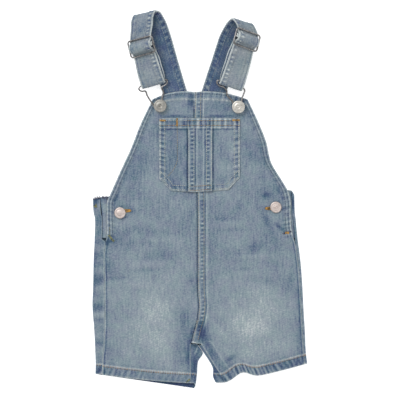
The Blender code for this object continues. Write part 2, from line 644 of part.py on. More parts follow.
def build():
    for obj in list(bpy.data.objects):
        bpy.data.objects.remove(obj)

    back("back_left", LEFT_BACK, -1, LEFT_OUTER, LEFT_INSEAM, LEFT_OPENING_STRIP, LEFT_BACK_CUT)
    back("back_right", RIGHT_BACK, 1, RIGHT_OUTER, RIGHT_INSEAM, RIGHT_OPENING_STRIP, RIGHT_BACK_CUT)
    stand("stand_left", LEFT_BACK, -1, LEFT_OPENING_STRIP, LEFT_STAND_TOP)
    stand("stand_right", RIGHT_BACK, 1, RIGHT_OPENING_STRIP, RIGHT_STAND_TOP)
    front("front_left", LEFT_LEG_ROWS, 1, LEFT_OUTER, LEFT_INSEAM, -1)
    front("front_right", RIGHT_LEG_ROWS, 2, RIGHT_OUTER, RIGHT_INSEAM, 1)

    for side, left, right, fell in zip(("left", "centre", "right"), POCKET_SPLITS, POCKET_SPLITS[1:],
                                       (False, True, False)):
        pocket_part("pocket_" + side, left, right, fell)

    strap("strap_left", LEFT_STRAP, LEFT_SLIDER, LEFT_BAR)
    strap("strap_right", RIGHT_STRAP, RIGHT_SLIDER, RIGHT_BAR)
    slider("slider_left", LEFT_SLIDER)
    slider("slider_right", RIGHT_SLIDER)
    hook("hook_left", LEFT_HOOK)
    hook("hook_right", RIGHT_HOOK)

    cap_height = HOOK_HEIGHT + WIRE + SEAM_GAP
    for side, place in (("left", LEFT_BIB_BUTTON), ("right", RIGHT_BIB_BUTTON)):
        foot = float(front_underside(*place)) + HEM + SEAM_GAP
        button("bib_button_" + side, place, BIB_BUTTON_DIAMETER, foot, cap_height)
    for side, place in (("left", LEFT_SIDE_BUTTON), ("right", RIGHT_SIDE_BUTTON)):
        foot = float(front_underside(*place)) + CLOTH + SEAM_GAP
        button("side_button_" + side, place, SIDE_BUTTON_DIAMETER, foot, foot + 0.8)


build()
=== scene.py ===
import math

import bpy
import numpy as np
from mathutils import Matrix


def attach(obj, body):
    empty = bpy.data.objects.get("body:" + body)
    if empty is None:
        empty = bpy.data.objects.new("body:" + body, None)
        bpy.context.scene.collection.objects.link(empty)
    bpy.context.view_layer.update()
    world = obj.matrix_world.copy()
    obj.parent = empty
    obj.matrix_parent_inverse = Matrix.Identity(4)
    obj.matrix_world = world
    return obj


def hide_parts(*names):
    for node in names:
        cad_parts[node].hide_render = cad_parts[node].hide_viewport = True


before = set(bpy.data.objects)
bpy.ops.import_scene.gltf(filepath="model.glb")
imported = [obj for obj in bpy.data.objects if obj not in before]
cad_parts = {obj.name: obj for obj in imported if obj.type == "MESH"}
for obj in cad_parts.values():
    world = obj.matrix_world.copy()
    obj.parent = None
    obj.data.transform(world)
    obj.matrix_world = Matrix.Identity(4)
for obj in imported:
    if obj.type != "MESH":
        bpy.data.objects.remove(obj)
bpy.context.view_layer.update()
print("dungarees: packed frame loaded")

# Lengths are in millimetres until a mesh is made. X runs across, Y up to the straps, Z off the floor.
mm = 0.001
cloth = {
    "thick": 1.2,  # one layer of light denim
    "hemThick": 2.3,  # a hem turned twice
    "foldInside": 1.0,  # inner radius where a back wraps round
    "frontRest": 3.2,  # underside of the fronts above the floor
    "fellWidth": 10.5,
    "sideHem": 9.0,
    "topHem": 12.0,
    "legHem": 12.7,
    "crotchY": -189.0,
    "hemBow": -1.5, "topBow": 4.3,  # how far the rows of a front bow at the hem and at the bib top
    "sideRows": (3.1, 7.2),  # distances of the sewn rows from the edge: side hem, top hem, leg hem
    "topRows": (3.2, 9.8),
    "legRows": (11.2, 12.7),
    "gridRows": 300, "gridColumns": 104,  # points of each front
}


# Small helpers

def softStep(low, high, value):
    # 3t^2 - 2t^3, with t running from 0 at low to 1 at high
    t = np.clip((value - low) / (high - low), 0, 1)
    return t * t * (3 - 2 * t)


def within(width, distance, soft=0.7):
    # 1 nearer than that width, 0 farther out, softly changing between
    return softStep(width + soft, width - soft, distance)


def hump(value, width):
    # e^-(value/width)^2
    return np.exp(-((value / width) ** 2))


def unit(vector):
    # the vector over its own length
    vector = np.asarray(vector, float)
    return vector / np.linalg.norm(vector, axis=-1, keepdims=True)


def smoothLine(knots, values, at):
    # cubic between knots, with slopes averaged over the two neighbouring spans
    knots, values, at = (np.asarray(a, float) for a in (knots, values, at))
    steps = np.diff(knots)
    tall = steps.reshape((-1,) + (1,) * (values.ndim - 1))
    rises = np.diff(values, axis=0) / tall
    inner = (rises[:-1] * tall[1:] + rises[1:] * tall[:-1]) / (tall[1:] + tall[:-1])
    slopes = np.concatenate([rises[:1], inner, rises[-1:]])
    span = np.clip(np.searchsorted(knots, at, side="right") - 1, 0, len(steps) - 1)
    width = steps[span]
    part = np.clip((at - knots[span]) / width, 0, 1)
    part = part.reshape(part.shape + (1,) * (values.ndim - 1))
    width = width.reshape(width.shape + (1,) * (values.ndim - 1))
    share = part * part * (3 - 2 * part)
    bend = part * (1 - part) * width * ((1 - part) * slopes[span] - part * slopes[span + 1])
    return values[span] * (1 - share) + values[span + 1] * share + bend


def evenLine(points, count, closed=False):
    # a smooth line through the points, cut at even steps of its length
    points = np.asarray(points, float)
    if closed:
        points = np.concatenate([points[-3:], points, points[:4]])
    knots = np.concatenate([[0], np.cumsum(np.linalg.norm(np.diff(points, axis=0), axis=1))])
    first, last = (knots[3], knots[-4]) if closed else (knots[0], knots[-1])
    return smoothLine(knots, points, np.linspace(first, last, count, endpoint=not closed))


def edgeX(edge, y):
    # x of an outline at a height
    table = np.asarray(edge, float)
    return smoothLine(table[:, 0], table[:, 1], y)


def ripple(x, y, size, seed):
    # a sum of seven sine waves of about that wavelength, in seeded directions
    rng = np.random.default_rng(seed)
    total = 0
    turns, scales, phases = rng.uniform(0, math.pi, 7), rng.uniform(0.7, 1.5, 7), rng.uniform(0, 6.28, 7)
    for turn, scale, phase in zip(turns, scales, phases):
        along = x * math.cos(turn) + y * math.sin(turn)
        total = total + np.sin(2 * math.pi / (size * scale) * along + phase)
    return total / 7 ** 0.5


def turnOutwards(mesh):
    # a negative enclosed volume means that the faces point in
    mesh.calc_loop_triangles()
    corners = np.empty(len(mesh.loop_triangles) * 3, np.int32)
    mesh.loop_triangles.foreach_get("vertices", corners)
    points = np.empty(len(mesh.vertices) * 3, np.float32)
    mesh.vertices.foreach_get("co", points)
    if np.linalg.det(points.reshape(-1, 3)[corners.reshape(-1, 3)].astype(float)).sum() < 0:
        mesh.flip_normals()


def makeMesh(name, points, faces, material, uv=None, dye=None):
    # points in mm; the dye number, one per point, carries the dye together with painted shade, for the denim
    # to read
    mesh = bpy.data.meshes.new(name)
    mesh.from_pydata((np.asarray(points, float) * mm).tolist(), [], faces)
    if uv is not None:
        layer = mesh.uv_layers.new(name="clothMap")
        corner = np.empty(len(mesh.loops), np.int32)
        mesh.loops.foreach_get("vertex_index", corner)
        layer.data.foreach_set("uv", (np.asarray(uv, float)[corner] * mm).astype(np.float32).ravel())
        values = np.clip(dye, 0, 1).astype(np.float32).ravel()
        mesh.attributes.new("dye", "FLOAT", "POINT").data.foreach_set("value", values)
    mesh.shade_smooth()
    turnOutwards(mesh)
    mesh.materials.append(material)
    piece = bpy.data.objects.new(name, mesh)
    bpy.context.scene.collection.objects.link(piece)
    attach(piece, "root")
    return piece


def ringFaces(rings, sides, closed=False):
    # four-sided faces from each ring of points to the next, with a lid at both ends of an open row
    index = np.arange(rings * sides).reshape(rings, sides)
    here = index if closed else index[:-1]
    ahead = np.roll(index, -1, axis=0) if closed else index[1:]
    quads = np.stack([here, np.roll(here, -1, axis=1), np.roll(ahead, -1, axis=1), ahead], axis=-1)
    lids = [] if closed else [index[0, ::-1].tolist(), index[-1].tolist()]
    return quads.reshape(-1, 4).tolist() + lids


def gridFaces(rows, columns, flip=False, start=0):
    # four-sided faces between the neighbours of a grid
    index = start + np.arange(rows * columns).reshape(rows, columns)
    a, b, c, d = index[:-1, :-1], index[:-1, 1:], index[1:, 1:], index[1:, :-1]
    order = (d, c, b, a) if flip else (a, b, c, d)
    return np.stack(order, axis=-1).reshape(-1, 4)


def makeCloth(name, upper, lower, dye, dyeAndShadeUnder, material, flip=False, uv=None):
    # a closed wall between two grids of points, rows by columns; flip turns the order of the columns round
    parts = [upper, lower, upper[..., :2] if uv is None else uv, dye, dyeAndShadeUnder + 0 * dye]
    upper, lower, uv, dye, dyeAndShadeUnder = (part[:, ::-1] if flip else part for part in parts)
    rows, columns = upper.shape[:2]
    count = rows * columns
    index = np.arange(count).reshape(rows, columns)
    rim = np.concatenate([index[0, :-1], index[:-1, -1], index[-1, :0:-1], index[:0:-1, 0]])
    ahead = np.roll(rim, -1)
    walls = np.stack([rim, rim + count, ahead + count, ahead], axis=-1)
    faces = np.concatenate([gridFaces(rows, columns), gridFaces(rows, columns, True, count), walls])
    points = np.concatenate([upper.reshape(-1, 3), lower.reshape(-1, 3)])
    maps = np.concatenate([uv.reshape(-1, 2)] * 2)
    return makeMesh(name, points, faces.tolist(), material, maps, np.stack([dye, dyeAndShadeUnder]))


def lineAt(points, distance, value):
    # the line of a grid where the distance reaches the value, one point for each column
    row = np.clip((distance < value).sum(axis=0) - 1, 0, len(distance) - 2)
    column = np.arange(distance.shape[1])
    low, high = distance[row, column], distance[row + 1, column]
    share = np.clip((value - low) / np.where(high > low, high - low, 1), 0, 1)[:, None]
    return points[row, column] * (1 - share) + points[row + 1, column] * share


def sideLine(points, distance, value, fromLast=False):
    # the same for each row, counted from the first or the last column
    step = -1 if fromLast else 1
    return lineAt(points.swapaxes(0, 1)[::step], distance.T[::step], value)


# Materials

def hexColour(code):
    # sRGB hex to linear
    parts = np.array([int(code[i:i + 2], 16) for i in (1, 3, 5)]) / 255
    linear = np.where(parts <= 0.04045, parts / 12.92, ((parts + 0.055) / 1.055) ** 2.4)
    return (*linear.tolist(), 1.0)


def addNode(tree, kind, settings=None, links=None):
    # one shader node with its settings (properties or sockets) and its incoming links
    node = tree.nodes.new("ShaderNode" + kind)
    for name, value in (settings or {}).items():
        if isinstance(name, int) or name in node.inputs:
            node.inputs[name].default_value = value
        else:
            setattr(node, name, value)
    for name, source in (links or {}).items():
        tree.links.new(source, node.inputs[name])
    return node


def newMaterial(name, surface):
    # a principled surface with those values in its sockets
    material = bpy.data.materials.new(name)
    material.use_nodes = True
    tree = material.node_tree
    shader = tree.nodes["Principled BSDF"]
    for socket, value in surface.items():
        shader.inputs[socket].default_value = value
    return material, tree, shader


def noiseAt(tree, where, scale, detail=2.0, roughness=0.5):
    # cloudy values round one half, with that many spots a metre
    settings = {"Scale": scale, "Detail": detail, "Roughness": roughness}
    return addNode(tree, "TexNoise", settings, {"Vector": where}).outputs["Fac"]


def colourRamp(tree, factor, stops):
    # from colour to colour through the (place, sRGB hex) stops
    ramp = addNode(tree, "ValToRGB", {}, {"Fac": factor})
    marks = ramp.color_ramp.elements
    for place, _ in stops[1:-1]:
        marks.new(place)
    for mark, (place, code) in zip(marks, stops):
        mark.position, mark.color = place, hexColour(code)
    return ramp.outputs["Color"]


def addBump(tree, shader, height, strength, distance):
    # fine relief under the light alone, by that distance in metres
    bump = addNode(tree, "Bump", {"Strength": strength, "Distance": distance}, {"Height": height})
    tree.links.new(bump.outputs["Normal"], shader.inputs["Normal"])


denim = {
    "pale": "#b3babb", "light": "#8b979e", "middle": "#75828f", "deep": "#506379", "dark": "#334463",
    "slubMm": 2.4,  # warp threads are 0.4 mm; drawn 2.4 mm wide, or they would not show
    "slubLengthMm": 16.0,
    "speckMm": 2.4,
    "twillMm": 1.3,  # real wales are 0.7 mm apart
    "twillDegrees": 63,
    "cloudMm": 18.0,
    "castMm": 13.0,  # patches of washed cloth turn a little towards green or mauve, by these hue values
    "castHue": (0.478, 0.514),
    "slub": 0.58, "speck": 0.74, "cloud": 0.26, "twill": 0.05,  # how much each one shifts the dye
    "roughness": 0.88,
}


def stonewashedDenim(name, palette):
    # cotton twill, indigo warp over white weft, stone washed: chalky blue-grey with fine vertical slubs
    material, tree, shader = newMaterial(name, {"Roughness": palette["roughness"], "Sheen Weight": 0.12,
                                                "Specular IOR Level": 0.2})
    where = addNode(tree, "UVMap", {"uv_map": "clothMap"}).outputs["UV"]
    total = addNode(tree, "Attribute", {"attribute_name": "dye"}).outputs["Fac"]
    long = {"Scale": (1000 / palette["slubMm"], 1000 / palette["slubLengthMm"], 1)}
    slanted = {"Rotation": (0, 0, math.radians(palette["twillDegrees"]))}
    drawnOut, turned = (addNode(tree, "Mapping", change, {"Vector": where}) for change in (long, slanted))
    wales = {"Scale": 1000 / palette["twillMm"] / (2 * math.pi), "Distortion": 1.5, "Detail": 2.0,
             "Detail Scale": 2.0}
    twill = addNode(tree, "TexWave", wales, {"Vector": turned.outputs["Vector"]}).outputs["Fac"]
    slub = noiseAt(tree, drawnOut.outputs["Vector"], 1.0, 3.0, 0.6)
    speck = noiseAt(tree, where, 1000 / palette["speckMm"], 2.0, 0.7)
    cloud = noiseAt(tree, where, 1000 / palette["cloudMm"], 4.0, 0.6)
    for source, kind in ((slub, "slub"), (speck, "speck"), (cloud, "cloud"), (twill, "twill")):
        centred = addNode(tree, "Math", {"operation": "SUBTRACT", 1: 0.5}, {0: source})
        total = addNode(tree, "Math", {"operation": "MULTIPLY_ADD", 1: palette[kind]},
                        {0: centred.outputs[0], 2: total}).outputs[0]
    tones = ("pale", "light", "middle", "deep", "dark")
    colour = colourRamp(tree, total, [(number / 4, palette[tone]) for number, tone in enumerate(tones)])
    green, mauve = palette["castHue"]
    cast = addNode(tree, "MapRange", {"From Min": 0.35, "From Max": 0.65, "To Min": green, "To Max": mauve},
                   {"Value": noiseAt(tree, where, 1000 / palette["castMm"])})
    washed = addNode(tree, "HueSaturation", {}, {"Hue": cast.outputs["Result"], "Color": colour})
    tree.links.new(washed.outputs["Color"], shader.inputs["Base Color"])
    grain = addNode(tree, "Math", {"operation": "ADD"}, {0: slub, 1: speck})
    grain = addNode(tree, "Math", {"operation": "MULTIPLY_ADD", 1: 0.5}, {0: twill, 2: grain.outputs[0]})
    addBump(tree, shader, grain.outputs[0], 0.35, 0.0004)
    return material


def spunThread(name, pale, deep):
    # twisted polyester-cotton sewing thread, faded by washing, a little glossier than the cloth
    material, tree, shader = newMaterial(name, {"Roughness": 0.6})
    where = addNode(tree, "TexCoord").outputs["Object"]
    colour = colourRamp(tree, noiseAt(tree, where, 260.0), ((0.35, deep), (0.62, pale)))
    tree.links.new(colour, shader.inputs["Base Color"])
    return material


def platedSteel(name, pale, dull, roughness):
    # steel wire or pressed cap, nickel plated and tumbled: soft grey shine with cloudy worn patches
    material, tree, shader = newMaterial(name, {"Metallic": 1.0, "Roughness": roughness})
    where = addNode(tree, "TexCoord").outputs["Object"]
    patches = noiseAt(tree, where, 350.0, 4.0, 0.65)
    tree.links.new(colourRamp(tree, patches, ((0.3, dull), (0.7, pale))), shader.inputs["Base Color"])
    rough = addNode(tree, "MapRange", {"To Min": roughness - 0.08, "To Max": roughness + 0.12},
                    {"Value": patches})
    tree.links.new(rough.outputs["Result"], shader.inputs["Roughness"])
    addBump(tree, shader, patches, 0.15, 0.0002)
    return material


frontDenim, backDenim, pocketDenim = (stonewashedDenim("stonewashedDenim" + place, denim)
                                      for place in ("Front", "Back", "Pocket"))
greyer = {"light": "#8d9599", "middle": "#75808a", "deep": "#4b5d78", "dark": "#324263", "slub": 0.45,
          "castMm": 24.0}
strapDenim = stonewashedDenim("stonewashedDenimStrap", {**denim, **greyer})
wireSteel = platedSteel("nickelPlatedWire", "#a2a09e", "#4f4e52", 0.36)
pewterCap = platedSteel("tumbledPewterCap", "#b3b1aa", "#858480", 0.5)
nickelCap = platedSteel("brightNickelCap", "#d4d1ca", "#b2afa8", 0.42)
roseCap = platedSteel("wornRoseNickelCap", "#d9cfc9", "#b9aaa5", 0.5)
print("dungarees: materials made")


# Outlines of the cut, as (y, x) from the leg hem up

leftOuter = (
    (-230.5, -128.7), (-212, -128.7), (-194, -126.8), (-173, -125.8), (-105, -125.8), (-60, -125.2),
    (-48, -123), (-17, -122.8), (0, -121.7), (6, -119), (37, -105.5), (68.5, -91), (100.5, -78.3),
    (133, -62.5),
)
rightOuter = (
    (-216.5, 138.3), (-200, 136.8), (-163, 134.7), (-121, 132.3), (-82, 129.4), (-60, 126), (-44, 121.6),
    (-21, 119.3), (0, 119), (9, 117), (26.5, 107.5), (47.5, 94.8), (79, 86.7), (100.5, 78), (132.5, 63),
)
centreSeam = (
    (-189, -12), (-171.5, -7.7), (-161, -4.7), (-145, -2.3), (-119, -3.3), (-57, -3.5), (10.5, -4),
    (59.5, -6), (108, -8), (142.5, -7.5),
)
leftInseam = ((-241.5, -12), (-215, -12.3), (-189, -12))
rightInseam = ((-241, 33), (-234, 29.4), (-220.5, 20.4), (-207.5, 12.3), (-197.5, 6.2), (-190.6, 1.5))

# rows of each front as (y at its outer edge, y at its inner edge)
leftRows = (
    (-230.5, -241.5), (-217.4, -229.5), (-216.2, -228.2), (-194, -210), (-177, -197), (-165.5, -188.4),
    (-155, -178), (-140, -162), (-122, -140), (-96, -110), (-66, -70), (-52.5, -54), (-46, -47), (-32, -32),
    (-14, -12), (2, 6), (16, 24), (37, 47), (58, 68), (79, 90), (100, 111), (119.2, 129.3), (120.4, 130.5),
    (133, 142.5),
)
rightRows = (
    (-216.5, -241), (-204.6, -231.5), (-203.4, -230.2), (-194, -220.5), (-186, -211.8), (-177, -203.2),
    (-163.5, -190.6), (-161, -188.4), (-153, -178), (-140, -162), (-121, -140), (-96, -110), (-66, -70),
    (-51, -54), (-44, -47), (-30, -32), (-14, -12), (2, 6), (16, 24), (37, 47), (58, 68), (79, 90),
    (100, 111), (119, 129.3), (120.2, 130.5), (132.5, 142.5),
)

# Worn and creased places as (x, y, half length, half width, turn in degrees, dye, rise in mm).
# A negative dye is a faded place; the darker places on sunk creases, folds and edges are painted shade.
leftWornAndShaded = (
    (-63, -158, 62, 42, 90, -0.24, 0.6), (-48, -192, 24, 16, 80, -0.08, 0),
    (-69, -75, 15, 7, 0, 0.14, -0.2), (-71, -93, 19, 2.6, 3, 0.13, -0.5),
    (-110, -103, 15, 3, 5, 0.12, -0.4), (-66, -84, 24, 3.2, 2, -0.1, 0.4),
    (-79, -112, 28, 4, -2, -0.09, 0.4), (-18.5, -176, 30, 7, 92, 0.22, -0.6),
    (-15, -208, 16, 5, 90, 0.2, -0.3), (-117, -54, 9, 3, 10, 0.3, -0.4),
    (-114, -31, 14, 5, 90, -0.12, 0.2), (-84, -8, 15, 1.6, 90, -0.12, 0.3),
    (-119, -88, 32, 6, 90, 0.08, 0), (-13, -22, 22, 4, 90, 0.08, 0), (-111, 2, 7, 2, 60, 0.3, -0.5),
    (-100, -60, 30, 10, 8, 0.06, -0.3), (-48, -42, 26, 3, -6, 0.08, -0.3),
    (-60, -52, 30, 3.5, -4, -0.08, 0.3), (-12, 131, 9, 4, 90, 0.42, 0),
    (-33, 110.5, 17, 1.7, 0, 0.4, -0.2), (-36, 124, 14, 7, 0, -0.06, 0), (-78, 44, 50, 14, 66, 0.06, 0),
    (-90, 22, 18, 6, 62, 0.06, 0), (-60, 20, 10, 20, 0, -0.03, 0.3),
    (-11.4, -176, 13, 1.7, 80, 0.4, -0.3), (-124.6, -57, 3.4, 3, 0, 0.55, -0.4),
    (-30, -190, 34, 6, 88, 0.1, -0.2), (-93, -14.4, 8, 3.4, 0, 0.32, 0),
    (-92, -40, 12, 5, 20, 0.1, -0.2), (-101, -8.4, 5, 1.4, 0, 0.3, 0), (-99.5, -23, 5, 1.6, 20, 0.25, 0),
)
rightWornAndShaded = (
    (68, -162, 56, 40, 90, -0.26, 0.6), (84, -148, 26, 18, 90, -0.1, 0), (71, -62, 10, 8, 0, 0.18, -0.4),
    (29, -25, 13, 2.6, 0, 0.14, -0.4), (38, -40, 17, 2.6, 2, 0.13, -0.4),
    (48, -31, 17, 4, 0, -0.12, 0.4), (74, -106, 24, 5, -3, 0.12, -0.5),
    (59, -91, 10, 2.2, 0, 0.12, -0.3), (88, -28, 15, 5, -65, 0.24, -0.7),
    (105.5, -36, 9, 2.4, -40, 0.34, -0.8), (26, -173, 19, 4, -48, -0.14, 0.6),
    (6, -178, 20, 6, -70, 0.3, -0.6), (16, -200, 16, 5, -58, 0.2, -0.4),
    (37, -222, 12, 4, 40, 0.14, -0.3), (131, -172, 50, 5, 90, 0.12, 0), (96, -84, 30, 4, -8, 0.08, -0.3),
    (60, -75, 34, 3, 2, -0.08, 0.4), (120, -100, 20, 4, 80, 0.1, -0.3),
    (28, 110.5, 18, 1.7, 0, 0.4, -0.2), (26, 122, 18, 9, 0, 0.18, 0), (86, 6, 7, 3.5, 10, 0.26, -0.5),
    (82, 30, 14, 4, 100, 0.12, -0.2), (74, 46, 50, 12, 112, 0.06, 0), (103, 12, 6, 2.4, -60, 0.24, -0.4),
    (15, -70, 50, 6, 90, 0.06, 0), (-5.5, -188.8, 8, 1.3, -9, -0.9, 0.7),
    (2.4, -196, 8, 1.1, -57, -0.5, 0.5), (2, -177, 13, 3.2, 84, 0.45, -0.5),
    (84, -196, 34, 10, 8, -0.1, 0), (40, -209, 9, 3, 30, 0.36, -0.2), (91, -11, 9, 3.4, 0, 0.3, 0),
    (-2.6, -166, 6, 3.6, 80, 0.3, -0.3), (-7, -182, 8, 3.4, 80, 0.16, 0),
    (17, -222, 14, 3.4, -58, 0.26, 0), (92, -216, 16, 4, 14, 0.14, 0),
)
leftBackWornAndShaded = (
    (-4.8, -198.5, 5, 0.8, 68, -0.5, 0.2), (-7.5, -216, 12, 3, 90, 0.22, 0), (-8, -233, 6, 2, 90, 0.2, 0),
    (-140, -70, 60, 3, 90, 0.1, 0), (-137, 0, 5, 2, 70, 0.35, 0), (-139, -8, 6, 3, 80, 0.3, 0),
    (-134, -30, 20, 4, 85, 0.12, 0),
)
rightBackWornAndShaded = (
    (19, -228, 14, 6, 80, 0.3, 0), (18.5, -210, 10, 3, -60, 0.25, 0), (121.5, -5, 12, 3.4, 85, 0.45, 0),
    (123, -38, 12, 3, 82, 0.2, 0),
)


def wornAndShadedPlaces(table, x, y):
    # sum over the places of e^-(along/length)^2-(across/width)^2, as dye with painted crease shade, and as
    # height
    dye, rise = np.zeros_like(x), np.zeros_like(x)
    for cx, cy, length, width, turn, wearAndShade, lift in table:
        c, s = math.cos(math.radians(turn)), math.sin(math.radians(turn))
        along, across = (x - cx) * c + (y - cy) * s, (y - cy) * c - (x - cx) * s
        shape = hump(along, length) * hump(across, width)
        dye += wearAndShade * shape
        rise += lift * shape
    return dye, rise


def roping(along, inside, depth, pitch, slant, seed):
    # a sewn band pulled up by its stitches: two sines along it, uneven, leaning with the distance inside
    lean = along + slant * inside + 2.4 * np.sin(along / 15.7 + seed) + 1.1 * np.sin(along / 5.9 + 2 * seed)
    turn = 2 * math.pi * lean / pitch
    wave = 0.75 * np.sin(turn) + 0.35 * np.sin(turn / 1.62 + seed)
    uneven = 0.75 + 0.35 * np.sin(along / 31 + 3 * seed)
    return wave * uneven * softStep(depth + 3.5, depth - 1.5, inside)


def ladder(along, inside, seed):
    # between the two sewn lines of a felled seam the cloth puckers into round blisters: the positive half of
    # a sine along it stands up, the other half sinks less, and both are strongest midway between the lines
    lean = along + 0.8 * np.sin(along / 19 + seed) + 0.5 * np.sin(along / 6.7 + 2 * seed)
    wave = np.sin(2 * math.pi * lean / 5.3)
    uneven = 0.75 + 0.35 * np.sin(along / 9.1 + 3 * seed) + 0.2 * np.sin(along / 3.7 + seed)
    return (2.1 * np.clip(wave, 0, 1) ** 2 - 0.8 * np.clip(-wave, 0, 1)) * uneven * hump(inside - 6.4, 2.2)


washAndShadeLines = {  # darker and paler lines beside a seam, as (dye, distance in mm, half width in mm)
    # a felled seam: dark sewn edge, pale ridge, darker ground of the blisters, dark groove, pale rise; the
    # darker ground and the dark groove where the band steps down are painted shade
    "fell": ((0.4, 0, 0.9), (-0.42, 2.1, 0.9), (0.12, 6.4, 2.8), (0.3, 10.5, 0.6), (-0.34, 12.3, 1.0)),
    "flatSeam": ((0.22, 0, 1.0),),
    "edge": ((-0.5, 0, 1.2),),
    # a side hem: paler between its rows, then a painted shade line just past the step of the hem
    "sideHem": ((-0.16, 5.1, 1.0), (0.12, 10.2, 1.5)),
    "topHem": ((0.12, 6.5, 1.6), (-0.42, 10.2, 1.3)),
    # a leg hem: a pale ridge, then faint painted shade above it
    "legHem": ((-0.4, 13, 1.1), (0.08, 15.5, 1.4)),
    "ironedSide": ((-0.36, 0, 1.1), (0.36, 2.5, 0.9)),
    "ironedLeg": ((-0.4, 0, 1.2), (0.14, 3, 1.2)),
    "legRow": ((-0.26, 14, 1.0),),
    "armhole": ((-0.4, 0, 1.3),),
    "pocketEdge": ((-0.56, 0, 1.2),),
    # a pocket's hem: a pale ridge, then a painted shade line just below the step of the hem
    "pocketHem": ((-0.4, 12.3, 0.9), (0.4, 14.1, 1.0)),
    "pocketSide": ((0.16, 3.2, 1.2),),
    "pocketSeam": ((0.34, 0, 1.5),),
}


def washed(kind, distance):
    # sum over the kind's lines of dye * e^-((distance - place)/width)^2
    return sum(dye * hump(distance - place, width) for dye, place, width in washAndShadeLines[kind])


def sewnHoleShade(along, inside, places, tones):
    # painted shade where the thread sinks into the cloth: a dashed dark line at each of those distances from
    # the edge
    dashes = 0.55 + 0.45 * np.sin(2 * math.pi * along / 3.1)
    return sum(tone * hump(inside - place, 0.75) for place, tone in zip(places, tones)) * dashes


def hemLines(along, inside):
    # a leg hem from its edge up: darker band, dashed painted shade in the sewn holes, broad pale ridge, faint
    # painted shade above
    band = 0.12 * softStep(11, 9, inside)
    return band + sewnHoleShade(along, inside, cloth["legRows"][:1], (0.4,)) + washed("legHem", inside)


def hemKick(x, y):
    # the right leg's hem turns up beside its inner corner: 9 mm times e^-((x-56)/13)^2, fading above the hem
    return 9 * hump(x - 56, 13) * softStep(-170, -225, y)


def frontUnderside(x, y):
    # rest height, rounder over the thighs, up over the yoke and button stands, down at the armhole edges
    outer = np.where(x < -5, -edgeX(leftOuter, y), edgeX(rightOuter, y))
    inward = outer - np.where(x < -5, -x, x)
    puff = 0.9 * hump(np.abs(x) - 66, 34) * hump(y + 105, 65)
    lift = 1.1 * softStep(78, 98, y)
    opening = 1.5 * softStep(28, 16, inward) * softStep(-62, -52, y) * softStep(34, 15, y)
    droop = 2.2 * softStep(20, 0, inward) * softStep(18, 40, y)
    return cloth["frontRest"] + puff + lift + opening - droop


